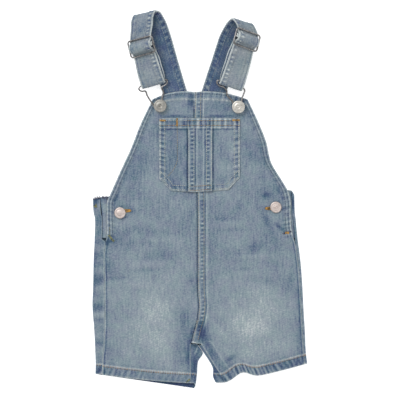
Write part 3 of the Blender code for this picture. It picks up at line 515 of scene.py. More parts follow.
def frontPanel(name, rows, outerEdge, inseam, sign, placesWornAndShaded):
    # straight rows between two outlines; the wall is thicker in the hems, and the relief is added on top
    table = np.asarray(rows, float)
    knots = table.mean(axis=1)
    at = np.linspace(knots[0], knots[-1], cloth["gridRows"])
    outerY, innerY = smoothLine(knots, table, at).T
    onLeg = innerY < cloth["crotchY"]
    innerX = np.where(onLeg, edgeX(inseam, innerY), edgeX(centreSeam, innerY) + sign * 0.15)
    outer = np.stack([edgeX(outerEdge, outerY), outerY], axis=1)
    inner = np.stack([innerX, innerY], axis=1)
    share = np.linspace(0, 1, cloth["gridColumns"])[None]
    plan = outer[:, None] * (1 - share[..., None]) + inner[:, None] * share[..., None]
    bow = np.zeros(len(knots))
    bow[:3], bow[-3:] = cloth["hemBow"], cloth["topBow"]
    plan[..., 1] += 4 * share * (1 - share) * np.interp(at, knots, bow)[:, None]
    x, y = plan[..., 0], plan[..., 1]
    y += hemKick(x, y)
    width = np.linalg.norm(inner - outer, axis=1)[:, None]
    steps = np.linalg.norm(np.diff(plan, axis=0), axis=2)
    fromHem = np.concatenate([np.zeros((1, x.shape[1])), np.cumsum(steps, axis=0)])
    fromTop = fromHem[-1:] - fromHem
    fromOuter, fromInner = share * width, (1 - share) * width
    above = softStep(-52, -47, outerY)[:, None]  # free side edge, with a hem of its own
    leg = onLeg[:, None] * 1.0
    onRight = 1.0 if sign > 0 else 0.0  # the right front carries the felled seam

    hems = np.maximum.reduce([within(cloth["sideHem"], fromOuter) * above, within(cloth["topHem"], fromTop),
                              within(cloth["legHem"], fromHem)])
    fell = within(cloth["fellWidth"], fromInner) * (1 - leg) * onRight
    thick = cloth["thick"] + (cloth["hemThick"] - cloth["thick"]) * hems + 0.9 * fell * (1 - hems)

    ropes = roping(x, fromHem, cloth["legHem"] - 2.5, 5.6 if onRight else 7.6, 0.5 * sign, 1.0 + sign)
    side = roping(y, fromOuter, cloth["sideHem"], 6.6, 0.25, 2.0 + sign) * above
    top = roping(x, fromTop, cloth["topHem"], 7.4, 0.2, 3.0 + sign) * softStep(3, 9, fromOuter)
    bars = ladder(y, fromInner, 4.0) * (1 - leg) * onRight * softStep(9, 12, fromTop)
    wearAndShade, rise = wornAndShadedPlaces(placesWornAndShaded, x, y)
    relief = 0.42 * ropes + 0.42 * side + 0.34 * top + 0.24 * bars + rise
    relief += 0.22 * ripple(x, y, 34, 11 + sign) + 0.08 * ripple(x, y, 11, 21 + sign)

    nearest = np.minimum.reduce([fromOuter + 99 * (1 - above), fromHem, fromTop])
    rounding = 0.8 * softStep(1.6, 0, nearest)
    dye = 0.5 + wearAndShade + 0.04 * ripple(x, y, 46, 31 + sign)
    # raised puckers and blisters are paler, as rubbed wear, and their hollows darker, as painted shade
    dye -= (0.32 if onRight else 0.2) * ropes + 0.16 * side + 0.16 * top + 0.26 * bars
    # sewn rows and seams: painted shade in the sewn holes and just past the steps of hems and seams, pale
    # rubbed edges
    dye += (sewnHoleShade(y, fromOuter, cloth["sideRows"], (0.42, 0.36)) + washed("sideHem", fromOuter)) * above
    dye += sewnHoleShade(x, fromTop, cloth["topRows"][:1], (0.45,)) + washed("topHem", fromTop)
    dye += hemLines(x, fromHem) + 0.09 * softStep(12, 10, fromHem) * onRight + washed("edge", nearest)
    dye += washed("fell" if onRight else "flatSeam", fromInner) * (1 - leg)
    # the side seam below the opening and the inner leg are ironed flat
    dye += washed("ironedSide", fromOuter) * (1 - above)
    dye += (washed("ironedLeg", fromInner) + washed("legRow", fromInner) * onRight) * leg

    under = frontUnderside(x, y)
    upper = np.stack([x, y, under + thick + relief - rounding], axis=-1)
    lower = np.stack([x, y, under + np.minimum(relief, 0.6)], axis=-1)
    makeCloth(name, upper, lower, dye, 0.35, frontDenim, flip=sign > 0)
    return {"points": upper, "fromOuter": fromOuter, "fromInner": fromInner, "fromHem": fromHem,
            "fromTop": fromTop, "outerY": outerY, "innerY": innerY}


frontLeft = frontPanel("frontLeft", leftRows, leftOuter, leftInseam, -1, leftWornAndShaded)
frontRight = frontPanel("frontRight", rightRows, rightOuter, rightInseam, 1, rightWornAndShaded)
print("dungarees: fronts made")


# Backs: flat on the floor, wrapped up and over at the side and at the inner leg

# rows as (y of the side fold, its x, y of the inner fold, its x, y of the strip on top, degrees turned over)
leftBackRows = (
    (-229.5, -138, -248.5, -6, -241.5, 180), (-216.5, -137.7, -231, -3.9, -229.5, 180),
    (-195.5, -138.4, -214, -2.6, -213, 180), (-176, -139.4, -202.5, 3.6, -201.5, 180),
    (-163, -140.2, -193, -3, -190.2, 180), (-158, -140.8, -190.8, -4.6, -190.8, 40),
    (-137, -142, -170, -6.5, -170, 20), (-116, -141.2, -140, -6.5, -140, 20),
    (-79, -140.4, -85, -6.5, -85, 20), (-57, -139.3, -57, -6.5, -57, 20),
    (-50, -139.1, -50, -6.5, -50, 20), (-26, -138.6, -26, -6.5, -26, 20), (0, -141.4, 0, -6.5, 0, 20),
    (120, -141.4, 120, -6.5, 120, 20),
)
rightBackRows = (
    (-216, 141.6, -240.5, 20.5, -241, 180), (-203, 139.9, -232, 17, -232.5, 180),
    (-190, 139, -220.5, 16.4, -220.5, 180), (-175, 138.5, -203, 6, -203.2, 180),
    (-163, 137.8, -193, -1.6, -191.4, 180), (-158, 137.4, -190.8, -3.2, -190.8, 40),
    (-140, 136.4, -170, -5.2, -170, 20), (-110, 134.8, -130, -5.2, -130, 20),
    (-82, 132.6, -85, -5.2, -85, 20), (-57, 129.5, -57, -5.2, -57, 20), (-50, 128.6, -50, -5.2, -50, 20),
    (-26, 126.3, -26, -5.2, -26, 20), (0, 124.6, 0, -5.2, 0, 20), (120, 124, 120, -5.2, 120, 20),
)
leftBackCut = (
    (-150, 0), (-141.6, 1.5), (-129.6, 4.1), (-120.5, 4.8), (-110, 12), (-95, 28), (-80, 48), (-66, 72),
    (-54, 96), (-45, 114), (-43, 130), (-150, 130),
)
rightBackCut = (
    (134, 6), (123.8, 8), (121, 12.8), (112, 13.2), (97, 20), (82, 36), (66, 56), (50, 80), (36, 102),
    (28, 114), (27, 130), (134, 130),
)

# points across a turned edge: round the fold, along the strip on top of it, and over the flat between
roll = {"turns": 9, "strips": 12, "flat": 60}


def toLine(x, y, line):
    # distance to the nearest point of a line of straight pieces
    nearest = 1e9 + 0 * x
    for (ax, ay), (bx, by) in zip(line[:-1], line[1:]):
        dx, dy = bx - ax, by - ay
        part = np.clip(((x - ax) * dx + (y - ay) * dy) / (dx ** 2 + dy ** 2), 0, 1)
        nearest = np.minimum(nearest, np.hypot(x - ax - part * dx, y - ay - part * dy))
    return nearest


def turnedEdge(foldX, seamX, angle, out, radius):
    # a flat edge that rolls up by an angle on a circle and runs on straight; one (x, z) section for each row
    outside = cloth["foldInside"] + cloth["thick"]
    angle = np.radians(angle)[:, None]
    around = np.linspace(0, 1, roll["turns"])[None] * angle
    centre = foldX[:, None] - out * outside * np.sin(np.minimum(angle, math.pi / 2))
    arc = np.stack([centre + out * radius * np.sin(around), outside - radius * np.cos(around)], axis=-1)
    run = np.where(angle > math.pi / 2, np.maximum(0.6, out * (centre - seamX[:, None])), 0.6)
    heading = np.stack([out * np.cos(angle), np.sin(angle)], axis=-1)
    share = np.linspace(0, 1, roll["strips"] + 1)[None, 1:, None]
    return np.concatenate([arc, arc[:, -1:] + share * run[..., None] * heading], axis=1)


def cutAway(piece, outline):
    # the boolean difference of a panel and a block on that outline
    count = len(outline)
    block = np.concatenate([np.column_stack([outline, np.full(count, height)]) for height in (-3.0, 12.0)])
    blockMesh = bpy.data.meshes.new(piece.name + "Cut")
    blockMesh.from_pydata((block * mm).tolist(), [], ringFaces(2, count))
    turnOutwards(blockMesh)
    cutter = bpy.data.objects.new(piece.name + "Cut", blockMesh)
    bpy.context.scene.collection.objects.link(cutter)
    armhole = piece.modifiers.new("armhole", "BOOLEAN")
    armhole.operation, armhole.solver, armhole.object = "DIFFERENCE", "EXACT", cutter
    applied = bpy.data.meshes.new_from_object(piece.evaluated_get(bpy.context.evaluated_depsgraph_get()))
    piece.modifiers.clear()
    piece.data = applied
    bpy.data.objects.remove(cutter)
    applied.materials.clear()
    applied.materials.append(backDenim)


def backPanel(name, rows, out, outerEdge, inseam, openingStrip, cut, wave, placesWornAndShaded):
    # per row: inner strip, inner fold, flat, side fold, side strip; relief only where it is off the floor.
    # The rows lie closest together near the hem, and farthest apart over the yoke.
    places = np.concatenate([np.linspace(0, 5, 90), np.linspace(5, 12, 110)[1:], np.linspace(12, 13, 40)[1:]])
    ySide, fold, yInner, innerFold, yStrip, angle = smoothLine(np.arange(len(rows)), rows, places).T
    angle = np.minimum(angle, 180)
    openPart = softStep(-56, -51, ySide)
    seamX = (edgeX(outerEdge, ySide) + out * 0.08) * (1 - openPart) + (fold - out * openingStrip) * openPart
    legX = edgeX(inseam, yStrip) - out * 0.08
    shells = []
    for radius, level in ((cloth["foldInside"] + cloth["thick"], 0.0), (cloth["foldInside"], cloth["thick"])):
        side = turnedEdge(fold, seamX, np.full(len(fold), 180.0), out, radius)
        leg = turnedEdge(innerFold, legX, angle, -out, radius)
        between = np.linspace(0, 1, roll["flat"] + 2)[None, 1:-1, None]
        flat = leg[:, None, 0] * (1 - between) + side[:, None, 0] * between
        flat[..., 1] = level
        shells.append(np.concatenate([leg[:, ::-1], flat, side], axis=1))
    outerFace, innerFace = shells
    x = outerFace[..., 0]
    columns = x.shape[1]
    column = np.arange(columns)
    rim = roll["turns"] + roll["strips"]
    stripShare = np.concatenate([np.ones(roll["strips"]), np.linspace(1, 0, roll["turns"])])
    lean = np.clip((x - innerFold[:, None]) / (fold - innerFold)[:, None], 0, 1)
    y = yInner[:, None] + (ySide - yInner)[:, None] * lean
    y[:, :rim] = yInner[:, None] + (yStrip - yInner)[:, None] * stripShare
    y[:, -rim:] = ySide[:, None]
    y += hemKick(x, y)
    onTop = np.zeros(columns)
    onTop[:rim], onTop[-rim:] = stripShare, stripShare[::-1]
    steps = np.hypot(np.diff(x, axis=0), np.diff(y, axis=0))
    fromHem = np.concatenate([np.zeros((1, columns)), np.cumsum(steps, axis=0)])
    hem = within(cloth["legHem"], fromHem)
    ropes = roping(x, fromHem, cloth["legHem"], 8.4, 0.5 * out, 1.0 + out) * onTop
    wearAndShade = roping(y, 4.0 + 0 * y, 9, wave, 0, 5.0 + out) * (1 - hem)
    backWearAndShade, rise = wornAndShadedPlaces(placesWornAndShaded, x, y)
    # the puckers are paler where raised, as rubbed wear, and darker in their hollows, as painted shade; the
    # table adds painted crease shade
    dye = 0.56 - 0.12 * wearAndShade * onTop - 0.2 * ropes + 0.06 * ripple(x, y, 30, 41 + out) + backWearAndShade * onTop
    dye += 0.16 * onTop * (column < rim) * (1 - hem)  # the inner leg strips are darker above the hem
    dye += hemLines(x, fromHem) + washed("edge", fromHem)
    # the underside shows the seat seam and the sewn armhole edge in its colour alone, with painted shade in
    # the sewn holes and the seam's groove, because it lies flat
    armhole = toLine(x, y, cut[:-1])
    dye += (sewnHoleShade(y, armhole, (3.2, 7.2), (0.36, 0.3)) + washed("armhole", armhole)) * (1 - onTop)
    if out > 0:
        dye += washed("fell", x - innerFold[:, None]) * (1 - onTop) * (angle < 60)[:, None]
    else:  # the top of this strip is overlocked and left raw
        dye += 0.5 * hump(y - 2.5, 2.2) * onTop * (column > rim)
    crease = roll["strips"] + roll["turns"] / 2
    dye -= 0.22 * hump(np.minimum(np.abs(column - crease), np.abs(columns - 1 - column - crease)), 1.6)
    dye[:, [-1, -2]] -= 0.2  # the sewn edges are rubbed pale like the creases
    dye[:, 0] -= 0.25
    relief = (0.35 * wearAndShade + 0.2 * ripple(x, y, 17, 43 + out) + 0.3 * ropes + 0.6 * hem + rise) * onTop
    lower = np.stack([x, y, outerFace[..., 1] + relief], axis=-1)
    upper = np.stack([innerFace[..., 0], y, innerFace[..., 1] + relief], axis=-1)
    uv = np.stack([np.cumsum(np.abs(np.gradient(x, axis=1)), axis=1) * out, y], axis=-1)
    # the back's inside face: 0.74, deepening within 17 mm of the hem as painted shade inside the leg opening
    inside = 0.74 + 0.26 * softStep(17, 11, fromHem)
    cutAway(makeCloth(name, upper, lower, inside, dye, backDenim, out < 0, uv), np.asarray(cut, float))
    return {"points": lower, "fromHem": fromHem}


backLeft = backPanel("backLeft", leftBackRows, -1, leftOuter, leftInseam, 9.7, leftBackCut, 17, leftBackWornAndShaded)
backRight = backPanel("backRight", rightBackRows, 1, rightOuter, rightInseam, 3.4, rightBackCut, 13,
                      rightBackWornAndShaded)


def buttonStand(name, rows, out, openingStrip, top):
    # a strip of one layer beside the back's turned edge, running in under the front
    table = np.asarray(rows, float)
    y = np.linspace(-50, top, 50)[:, None] * np.ones((1, 14))
    seam = smoothLine(table[:, 0], table[:, 1], y[:, 0])[:, None] - out * (openingStrip + 0.45)
    x = seam - out * 13 * np.linspace(0, 1, 14)[None]
    z = cloth["frontRest"] + 0.12 * ripple(x, y, 16, 51 + out)
    # a painted shadow line along the seam beside the back's turned edge, and darker towards the top
    dye = 0.4 + 0.3 * hump(x - seam, 1.4) + 0.05 * ripple(x, y, 9, 53) + 0.22 * softStep(top - 10, top - 3, y)
    upper, lower = np.stack([x, y, z + cloth["thick"]], axis=-1), np.stack([x, y, z], axis=-1)
    makeCloth(name, upper, lower, dye, dye, backDenim, flip=out > 0)


buttonStand("standLeft", leftBackRows, -1, 9.7, 3.4)
buttonStand("standRight", rightBackRows, 1, 3.4, 11.5)
print("dungarees: backs and button stands made")


# Pocket: three panels joined by two felled seams, sewn on to the bib

pocket = {
    "top": 107.5, "hem": 12.6,
    "bottom": ((-53.8, 28.5), (-37.5, 12), (-5.5, 10.5), (37.5, 13.5), (52.6, 30)),
    "splits": (-53.8, -16.6, 17.1, 52.6),
    "centreLift": 1.0,
    "rows": 78,
}


def pocketPanel(number, place, tone):
    # the bib's height plus a gap, so that the panel lies on it; the foot follows the bottom line
    left, right = pocket["splits"][number - 1] + 0.15, pocket["splits"][number] - 0.15
    x = np.linspace(left, right, max(24, int(right - left)))[None] * np.ones((pocket["rows"], 1))
    foot = np.interp(x, *np.array(pocket["bottom"]).T)
    y = foot + (pocket["top"] - foot) * np.linspace(0, 1, pocket["rows"])[:, None]
    fromTop = pocket["top"] - y
    slope = np.gradient(foot, axis=1) / np.gradient(x, axis=1)
    fromFoot = (y - foot) / np.hypot(1, slope)
    sides = (x - left, right - x)
    centre = place == "Centre"
    outside = 99 + 0 * x if centre else sides[number // 2]
    hem = within(pocket["hem"], fromTop, 0.6)
    fell, bars = 0 * x, 0 * x
    if centre:
        fell = np.maximum.reduce([within(cloth["fellWidth"], side, 0.6) for side in sides])
        bars = sum(ladder(y, side, number + 6.0) for side in sides)
    edgeBars = roping(y, outside, 7.5, 6.4, 0.2, number + 1.0)
    footBars = roping(x, fromFoot, 7.5, 6.8, 0.2, number + 2.0) * softStep(4, 10, outside)
    hemBars = roping(x, fromTop, pocket["hem"], 6.6, 0.0, number + 3.0)
    turned = softStep(8.2, 6.8, np.minimum(outside, fromFoot))
    thick = cloth["thick"] + 0.9 * np.maximum(hem, fell) + 0.5 * turned
    relief = 0.26 * (bars * (1 - hem) + footBars + hemBars) + 0.34 * edgeBars
    relief += 0.1 * ripple(x, y, 15, number)
    edges = np.minimum.reduce([outside, fromFoot, fromTop])
    # raised bars paler, as rubbed wear, and their hollows darker, as painted shade; painted shade in the sewn
    # holes and just below the hem's step
    dye = tone + 0.05 * ripple(x, y, 24, number + 60) - 0.3 * bars * (1 - hem)
    dye -= 0.24 * edgeBars + 0.16 * footBars + 0.34 * hemBars
    dye += washed("pocketEdge", edges) + washed("pocketHem", fromTop) + washed("pocketSide", outside)
    dye += sewnHoleShade(x, fromTop, (3.6, 9.6), (0.3, 0.3))
    dye += sewnHoleShade(x, fromFoot, (6.4,), (0.3,)) * (outside > 3)
    if centre:
        dye += (washed("fell", sides[0]) + washed("fell", sides[1])) * (1 - hem)
    else:
        dye += washed("pocketSeam", sides[1 - number // 2])
    lift = 0.3 + pocket["centreLift"] * softStep(26, 14, np.abs(x + 3))
    under = frontUnderside(x, y) + cloth["thick"] + lift
    upper = np.stack([x, y, under + thick + relief - 0.7 * softStep(1.4, 0, edges)], axis=-1)
    lower = np.stack([x, y, under - 0.2], axis=-1)
    makeCloth("pocket" + place, upper, lower, dye, 0.4, pocketDenim)
    return {"points": upper, "fromTop": fromTop, "fromFoot": fromFoot, "sides": sides}


pocketLeft = pocketPanel(1, "Left", 0.6)
pocketCentre = pocketPanel(2, "Centre", 0.57)
pocketRight = pocketPanel(3, "Right", 0.48)
print("dungarees: pocket made")


# Straps

hookHeight = 8.6
strap = {
    "width": 32.0, "thick": 2.4, "sliderHeight": 22.0, "sliderLength": 36.4, "sliderCorner": 3.2,
    # places along the strap and heights over the slider's plane, then the way to the hook's bar and back
    "sliderPass": ((11, -3.1), (6.2, -0.6), (4.2, 3.7), (0, 5.5), (-4.2, 3.7), (-6.2, -0.6), (-11, -3.2)),
    "barPass": ((0.2, -3.1), (0.5, -1.4), (0.8, 2.1)),
    "barTurn": 3.0,
    "barReturn": ((0.8, -3.1), (0.5, -4.4), (0.2, -6.0)),
    "sliderReturn": ((-11, -6.1), (-5, -4.2)),
    "endTurn": 2.8,  # radius of the sewn end round the slider's middle bar
    "endTurnDegrees": (0, 45, 90, 135, 180, 215),
    "returnShift": 2.2,
    "shownDye": {"left": 0.46, "right": 0.4}, "hiddenDye": 0.76,
}
# back part as (inner edge x, y, z, outer edge x, y, z), from the yoke to the slider
leftStrapWay = (
    (-8.8, 116.5, 2.75, -39.5, 107.5, 2.75), (-17, 143.5, 2.7, -47.7, 134.5, 2.7),
    (-26, 174, 2.1, -56.5, 164.5, 1.6), (-31.5, 193, 2.3, -62.3, 184.5, 1.5),
    (-36, 209, 3.2, -67.5, 203, 1.5), (-41, 225, 5.2, -72.5, 221, 1.5),
    (-46.5, 238.5, 8.5, -78, 235.5, 1.7), (-53.5, 248.3, 12.8, -84.5, 242, 2.3),
    (-58.2, 248.6, 16.2, -88, 242.2, 4.2), (-61, 242.5, 18.3, -90.3, 237, 5),
    (-62.2, 231, 19, -91.3, 225.5, 5),
)
rightStrapWay = (
    (-7.2, 117, 2.75, 23.3, 107.3, 2.75), (2, 144, 2.7, 32.5, 134.5, 2.7), (9, 166, 2.1, 39.3, 155.8, 1.6),
    (16, 187, 2.3, 46.2, 177, 1.5), (21, 203, 3, 51.8, 195, 1.5), (26, 217, 5, 57, 210, 1.5),
    (32, 228.5, 8.5, 62, 221, 1.7), (37.8, 236.3, 12.6, 66, 229, 2.3), (42, 238.6, 16.4, 69.8, 231, 3.6),
    (45.4, 235, 18.8, 73, 226.5, 3.9),
)
sliderPlaces = {
    "left": ((-77.1, 201.5, 14.6), (0.873, 0.214, 0.438), (-0.23, 0.97, 0)),
    "right": ((61.7, 211, 15.3), (-0.84, 0.29, 0.46), (0.17, 0.98, -0.1)),
}
barPlaces = {
    "left": ((-62.3, 154, hookHeight), (0.963, 0.271, 0)),
    "right": ((41.8, 151.8, hookHeight), (-0.95, 0.312, 0)),
}


def sliderAxes(place):
    # its centre, the way along its bars, the way the strap runs through it, and the way square to both
    centre, bars, run = (np.asarray(a, float) for a in place)
    bars = unit(bars)
    run = unit(run - np.dot(run, bars) * bars)
    normal = np.cross(bars, run)
    return centre, bars, run, normal * np.sign(normal[2])


def strapBand(name, way, side, rows, seed, outerSide):
    # two edge lines through the table; the band between them has a flat oval section, puckered at its edges
    centre, bars, run, normal = sliderAxes(sliderPlaces[side])
    barCentre, barWay = np.asarray(barPlaces[side][0], float), unit(barPlaces[side][1])
    up = np.array([0, 0, 1])
    down = np.cross(barWay, up)
    down = down * -np.sign(down[1])
    sideways = strap["returnShift"] / 2  # the lower layer lies a little to one side
    edges = [np.array([row[:3], row[3:]], float) for row in way]

    def layAcross(middle, across):
        edges.append(np.array([middle + strap["width"] / 2 * across, middle - strap["width"] / 2 * across]))

    def towardsBar(part, height, shift=0.0):
        across = unit(bars * (1 - part) + barWay * part)
        middle = (centre - strap["sliderHeight"] / 2 * run) * (1 - part) + barCentre * part
        layAcross(middle + height * unit(normal * (1 - part) + up * part) + shift * across, across)

    for place, height in strap["sliderPass"]:
        layAcross(centre + place * run + height * normal, bars)
    for part, height in strap["barPass"]:
        towardsBar(part, height)
    for turn in np.radians([0, 45, 90, 135, 180]):
        middle = barCentre + strap["barTurn"] * (math.sin(turn) * down + math.cos(turn) * up)
        layAcross(middle + sideways * turn / math.pi * barWay, barWay)
    for part, height in strap["barReturn"]:
        towardsBar(part, height, strap["returnShift"])
    for place, height in strap["sliderReturn"]:
        layAcross(centre + place * run + height * normal + sideways * bars, bars)
    for turn in np.radians(strap["endTurnDegrees"]):
        middle = centre + strap["endTurn"] * (math.sin(turn) * run - math.cos(turn) * normal)
        layAcross(middle + sideways * bars, bars)

    both = evenLine(np.array(edges).reshape(len(edges), 6), rows).reshape(-1, 2, 3)
    middle = both.mean(axis=1)
    across = both[:, 0] - both[:, 1]
    width = np.linalg.norm(across, axis=1)[:, None]
    across = across / width
    out = unit(np.cross(np.gradient(middle, axis=0), across))
    along = np.concatenate([[0], np.cumsum(np.linalg.norm(np.diff(middle, axis=0), axis=1))])[:, None]
    place = np.concatenate([[-1, -0.99, -0.96], np.linspace(-0.92, 0.92, 27), [0.96, 0.99, 1]])[None]
    bulge = np.sqrt(np.clip(1 - np.clip((np.abs(place) - 0.925) / 0.075, 0, 1) ** 2, 0, 1))
    inside = (1 - np.abs(place)) * width / 2
    plain = middle[:, None] + across[:, None] * (place * width / 2)[..., None]
    faces, tones = {}, []
    for face in (1, -1):
        # the right side has round blisters along its inner edge, the wrong side longer puckers
        shown = face == outerSide
        pull = ladder(along, np.where(place > 0, inside, 99) + 1.4, seed) * (0.85 if shown else 0)
        for edge, strength in ((-1, 0.3), (1, 0.4 if shown else 1.2)):
            near = np.where(place * edge > 0, inside, 99)
            puckers = roping(along, near, 7.5, 9.2 if shown else 7.4, 0.3, seed + edge + face)
            pull = pull + strength * puckers * softStep(1.5, 4.0, near)
        relief = 0.38 * pull + 0.12 * ripple(along, place * 16, 14, seed + 3)
        relief = relief - 0.25 * hump(inside - 2.6, 0.9) - 0.2 * hump(inside - 8.4, 0.9)
        z = (strap["thick"] / 2 + relief) * bulge
        faces[face] = plain + face * out[:, None] * z[..., None]
        # the cut edge of each band is worn pale, and the wrong side stays dark
        tone = strap["shownDye"][side] if shown else strap["hiddenDye"]
        # raised puckers paler, as rubbed wear, and their hollows darker, as painted shade
        tone = tone - 0.3 * pull + 0.05 * ripple(along, place * 16, 22, seed + 9)
        # a painted shade line beside the outer sewn row, then the worn pale cut edge
        tone += 0.26 * hump(inside - 3.0, 0.7) - (0.45 if shown else 0.2) * hump(inside - 0.8, 1.1)
        if shown:
            tone += 0.07 * softStep(centre[1] + 9, centre[1] + 22, middle[:, 1:2])
        tones.append(np.minimum(tone, np.where(np.abs(place) > 0.95, 0.1, 1)))
    uv = np.stack([place * 16 + 0 * along, along + 0 * place], axis=-1)
    ring, dye, uv = (np.concatenate([first, second[:, -2:0:-1]], axis=1)
                     for first, second in (faces.values(), tones, (uv, uv)))
    makeMesh(name, ring.reshape(-1, 3), ringFaces(rows, ring.shape[1]), strapDenim, uv.reshape(-1, 2), dye)
    return {"length": along[-1, 0], "faces": faces, "inside": inside, "out": out}


strapLeft = strapBand("strapLeft", leftStrapWay, "left", 460, 3, 1)
strapRight = strapBand("strapRight", rightStrapWay, "right", 440, 5, -1)
print("dungarees: straps made")


# Sliders, hooks and buttons

wire = {"radius": 1.1, "sides": 16, "hookPoints": 150}
hookPlans = {
    "left": (
        (-72, 151.3), (-79, 149.2), (-80.6, 146.2), (-77.4, 143.3), (-72, 143.2), (-69.8, 138.2),
        (-64.2, 129), (-57.6, 121.3), (-52.3, 119.3), (-47.9, 123), (-50.2, 133.4), (-48.3, 142.6),
        (-50.6, 148.4), (-46.2, 151.4), (-43.4, 154.4), (-43.4, 158), (-47, 158.3),
    ),
    "right": (
        (51.5, 148.6), (57.5, 147), (58.9, 144.2), (57.4, 139.4), (54.8, 132), (55.2, 123), (50.8, 117.8),
        (45.9, 120), (42.4, 130.4), (35.8, 138.4), (34.6, 145.2), (31, 148.8), (25.4, 150.6), (22.6, 153.6),
        (22.9, 157.4), (27.5, 156.5), (34, 154.4),
    ),
}


def wireLoop(path, normal, closed=True):
    # rings of the wire's radius, square to a path that lies in a plane; returns points and faces
    ahead = np.roll(path, -1, axis=0) - np.roll(path, 1, axis=0)
    if not closed:
        ahead = np.repeat((path[-1] - path[0])[None], len(path), axis=0)
    side = np.cross(unit(ahead), normal)
    turn = np.linspace(0, 2 * math.pi, wire["sides"], endpoint=False)[None, :, None]
    rings = path[:, None] + wire["radius"] * (side[:, None] * np.cos(turn) + unit(normal) * np.sin(turn))
    return rings.reshape(-1, 3), ringFaces(len(path), wire["sides"], closed)


def wireSlider(name, side):
    # an oblong frame with round corners, and a straight bar across its middle
    centre, bars, run, normal = sliderAxes(sliderPlaces[side])
    halfLength, halfHeight = strap["sliderLength"] / 2, strap["sliderHeight"] / 2
    corner = strap["sliderCorner"]
    outline = []
    for sx, sy, start in ((1, 1, 0), (-1, 1, 90), (-1, -1, 180), (1, -1, 270)):
        for turn in np.radians(start + np.linspace(0, 90, 8)):
            outline.append((sx * (halfLength - corner) + corner * math.cos(turn),
                            sy * (halfHeight - corner) + corner * math.sin(turn)))
    outline = np.array(outline)
    points, faces = wireLoop(centre + outline[:, :1] * bars + outline[:, 1:] * run, normal)
    ends = centre + np.linspace(-halfLength, halfLength, 5)[:, None] * bars
    barPoints, barFaces = wireLoop(ends, normal, closed=False)
    faces = faces + [[number + len(points) for number in face] for face in barFaces]
    makeMesh(name, np.concatenate([points, barPoints]), faces, wireSteel)


def wireHook(name, side):
    # a closed loop of wire through the plan's points, level all round
    path = evenLine(hookPlans[side], wire["hookPoints"], closed=True)
    path = np.column_stack([path, np.full(len(path), hookHeight)])
    makeMesh(name, *wireLoop(path, np.array([0.0, 0.0, 1.0])), wireSteel)


# a cap's rim as (distance in from its edge, height), from the shank round to the top
capRim = ((0.9, 0.0), (0.35, 0.1), (0.05, 0.45), (0.0, 0.8), (0.15, 1.2), (0.6, 1.55), (1.2, 1.72),
          (1.9, 1.66), (2.5, 1.58), (3.4, 1.72))
shank = {"radius": 2.6, "sides": 56}


def tackButton(name, place, diameter, foot, capHeight, dimple, metal):
    # a profile of (radius, height) turned about the button's own axis
    profile = [(shank["radius"], foot), (shank["radius"], capHeight)]
    profile += [(diameter / 2 - inward, capHeight + rise) for inward, rise in capRim]
    profile += [(radius, capHeight + rise) for radius, rise in dimple]
    profile = np.array(profile)
    turn = np.linspace(0, 2 * math.pi, shank["sides"], endpoint=False)[None]
    x = place[0] + profile[:, :1] * np.cos(turn)
    y = place[1] + profile[:, :1] * np.sin(turn)
    points = np.stack([x, y, profile[:, 1:] + 0 * turn], axis=-1)
    makeMesh(name, points.reshape(-1, 3), ringFaces(len(profile), shank["sides"]), metal)


for side in ("left", "right"):
    wireSlider("slider" + side.title(), side)
    wireHook("hook" + side.title(), side)

capHeight = hookHeight + wire["radius"] + 0.3
buttons = {
    "bibLeft": ((-52.5, 124), 17.0, pewterCap,
                ((4.6, 1.95), (3.2, 2.1), (2.2, 2.1), (1.6, 1.4), (1.2, 0.6), (0.6, 0.4))),
    "bibRight": ((50.5, 122.5), 17.0, nickelCap,
                 ((4.6, 1.95), (3.2, 2.1), (2.3, 2.0), (1.7, 1.75), (1.2, 1.85), (0.6, 2.0))),
    "sideLeft": ((-105.5, -17), 15.0, roseCap, ((3.4, 2.0), (2.4, 2.1), (1.5, 2.15), (0.7, 2.18))),
    "sideRight": ((100, -9.5), 15.0, roseCap,
                  ((3.6, 1.9), (2.6, 1.6), (2.0, 1.75), (1.4, 2.0), (0.9, 1.8), (0.5, 1.5))),
}
for key, (place, diameter, metal, dimple) in buttons.items():
    onBib = key.startswith("bib")
    x, y = np.array([float(place[0])]), np.array([float(place[1])])
    foot = float(frontUnderside(x, y)[0]) + (2.2 if onBib else 1.2) + 0.3
    tackButton(key + "Button", place, diameter, foot - 0.6, capHeight if onBib else foot + 0.8, dimple, metal)
print("dungarees: metal made")


# Stitching

def stitchMesh(name, centres, ahead, up, length, width, material):
    # each stitch is a short capsule: radius = width/2 * sqrt(1 - (2t)^4), arched along its own length
    t = np.array([-0.5, -0.42, -0.2, 0.2, 0.42, 0.5])
    radius = width / 2 * np.sqrt(np.clip(1 - (2 * np.abs(t)) ** 4, 0.04, 1))
    turn = np.linspace(0, 2 * math.pi, len(t), endpoint=False)[None, None, :, None]
    side = unit(np.cross(up, ahead))
    rise = (0.25 - t * t) * width * 1.2
    spine = centres[:, None] + ahead[:, None] * (t[None, :, None] * np.reshape(length, (-1, 1, 1)))
    spine = spine + up[:, None] * rise[None, :, None]
    ring = side[:, None, None] * np.cos(turn) + up[:, None, None] * np.sin(turn)
    points = spine[:, :, None] + ring * radius[None, :, None, None]
    capsule = ringFaces(len(t), len(t))
    starts = len(t) ** 2 * np.arange(len(centres))[:, None, None]
    faces = []
    for part in (np.array(capsule[:-2]), np.array(capsule[-2:])):
        faces += (part[None] + starts).reshape(-1, part.shape[1]).tolist()
    makeMesh(name, points.reshape(-1, 3), faces, material)


def upright(count):
    # the way off the floor, once for each stitch
    return np.repeat([[0.0, 0.0, 1.0]], count, axis=0)


def readLine(at, knots, values):
    # straight between the rows of values, one row for each place
    return np.stack([np.interp(at, knots, column) for column in values.T], axis=1)


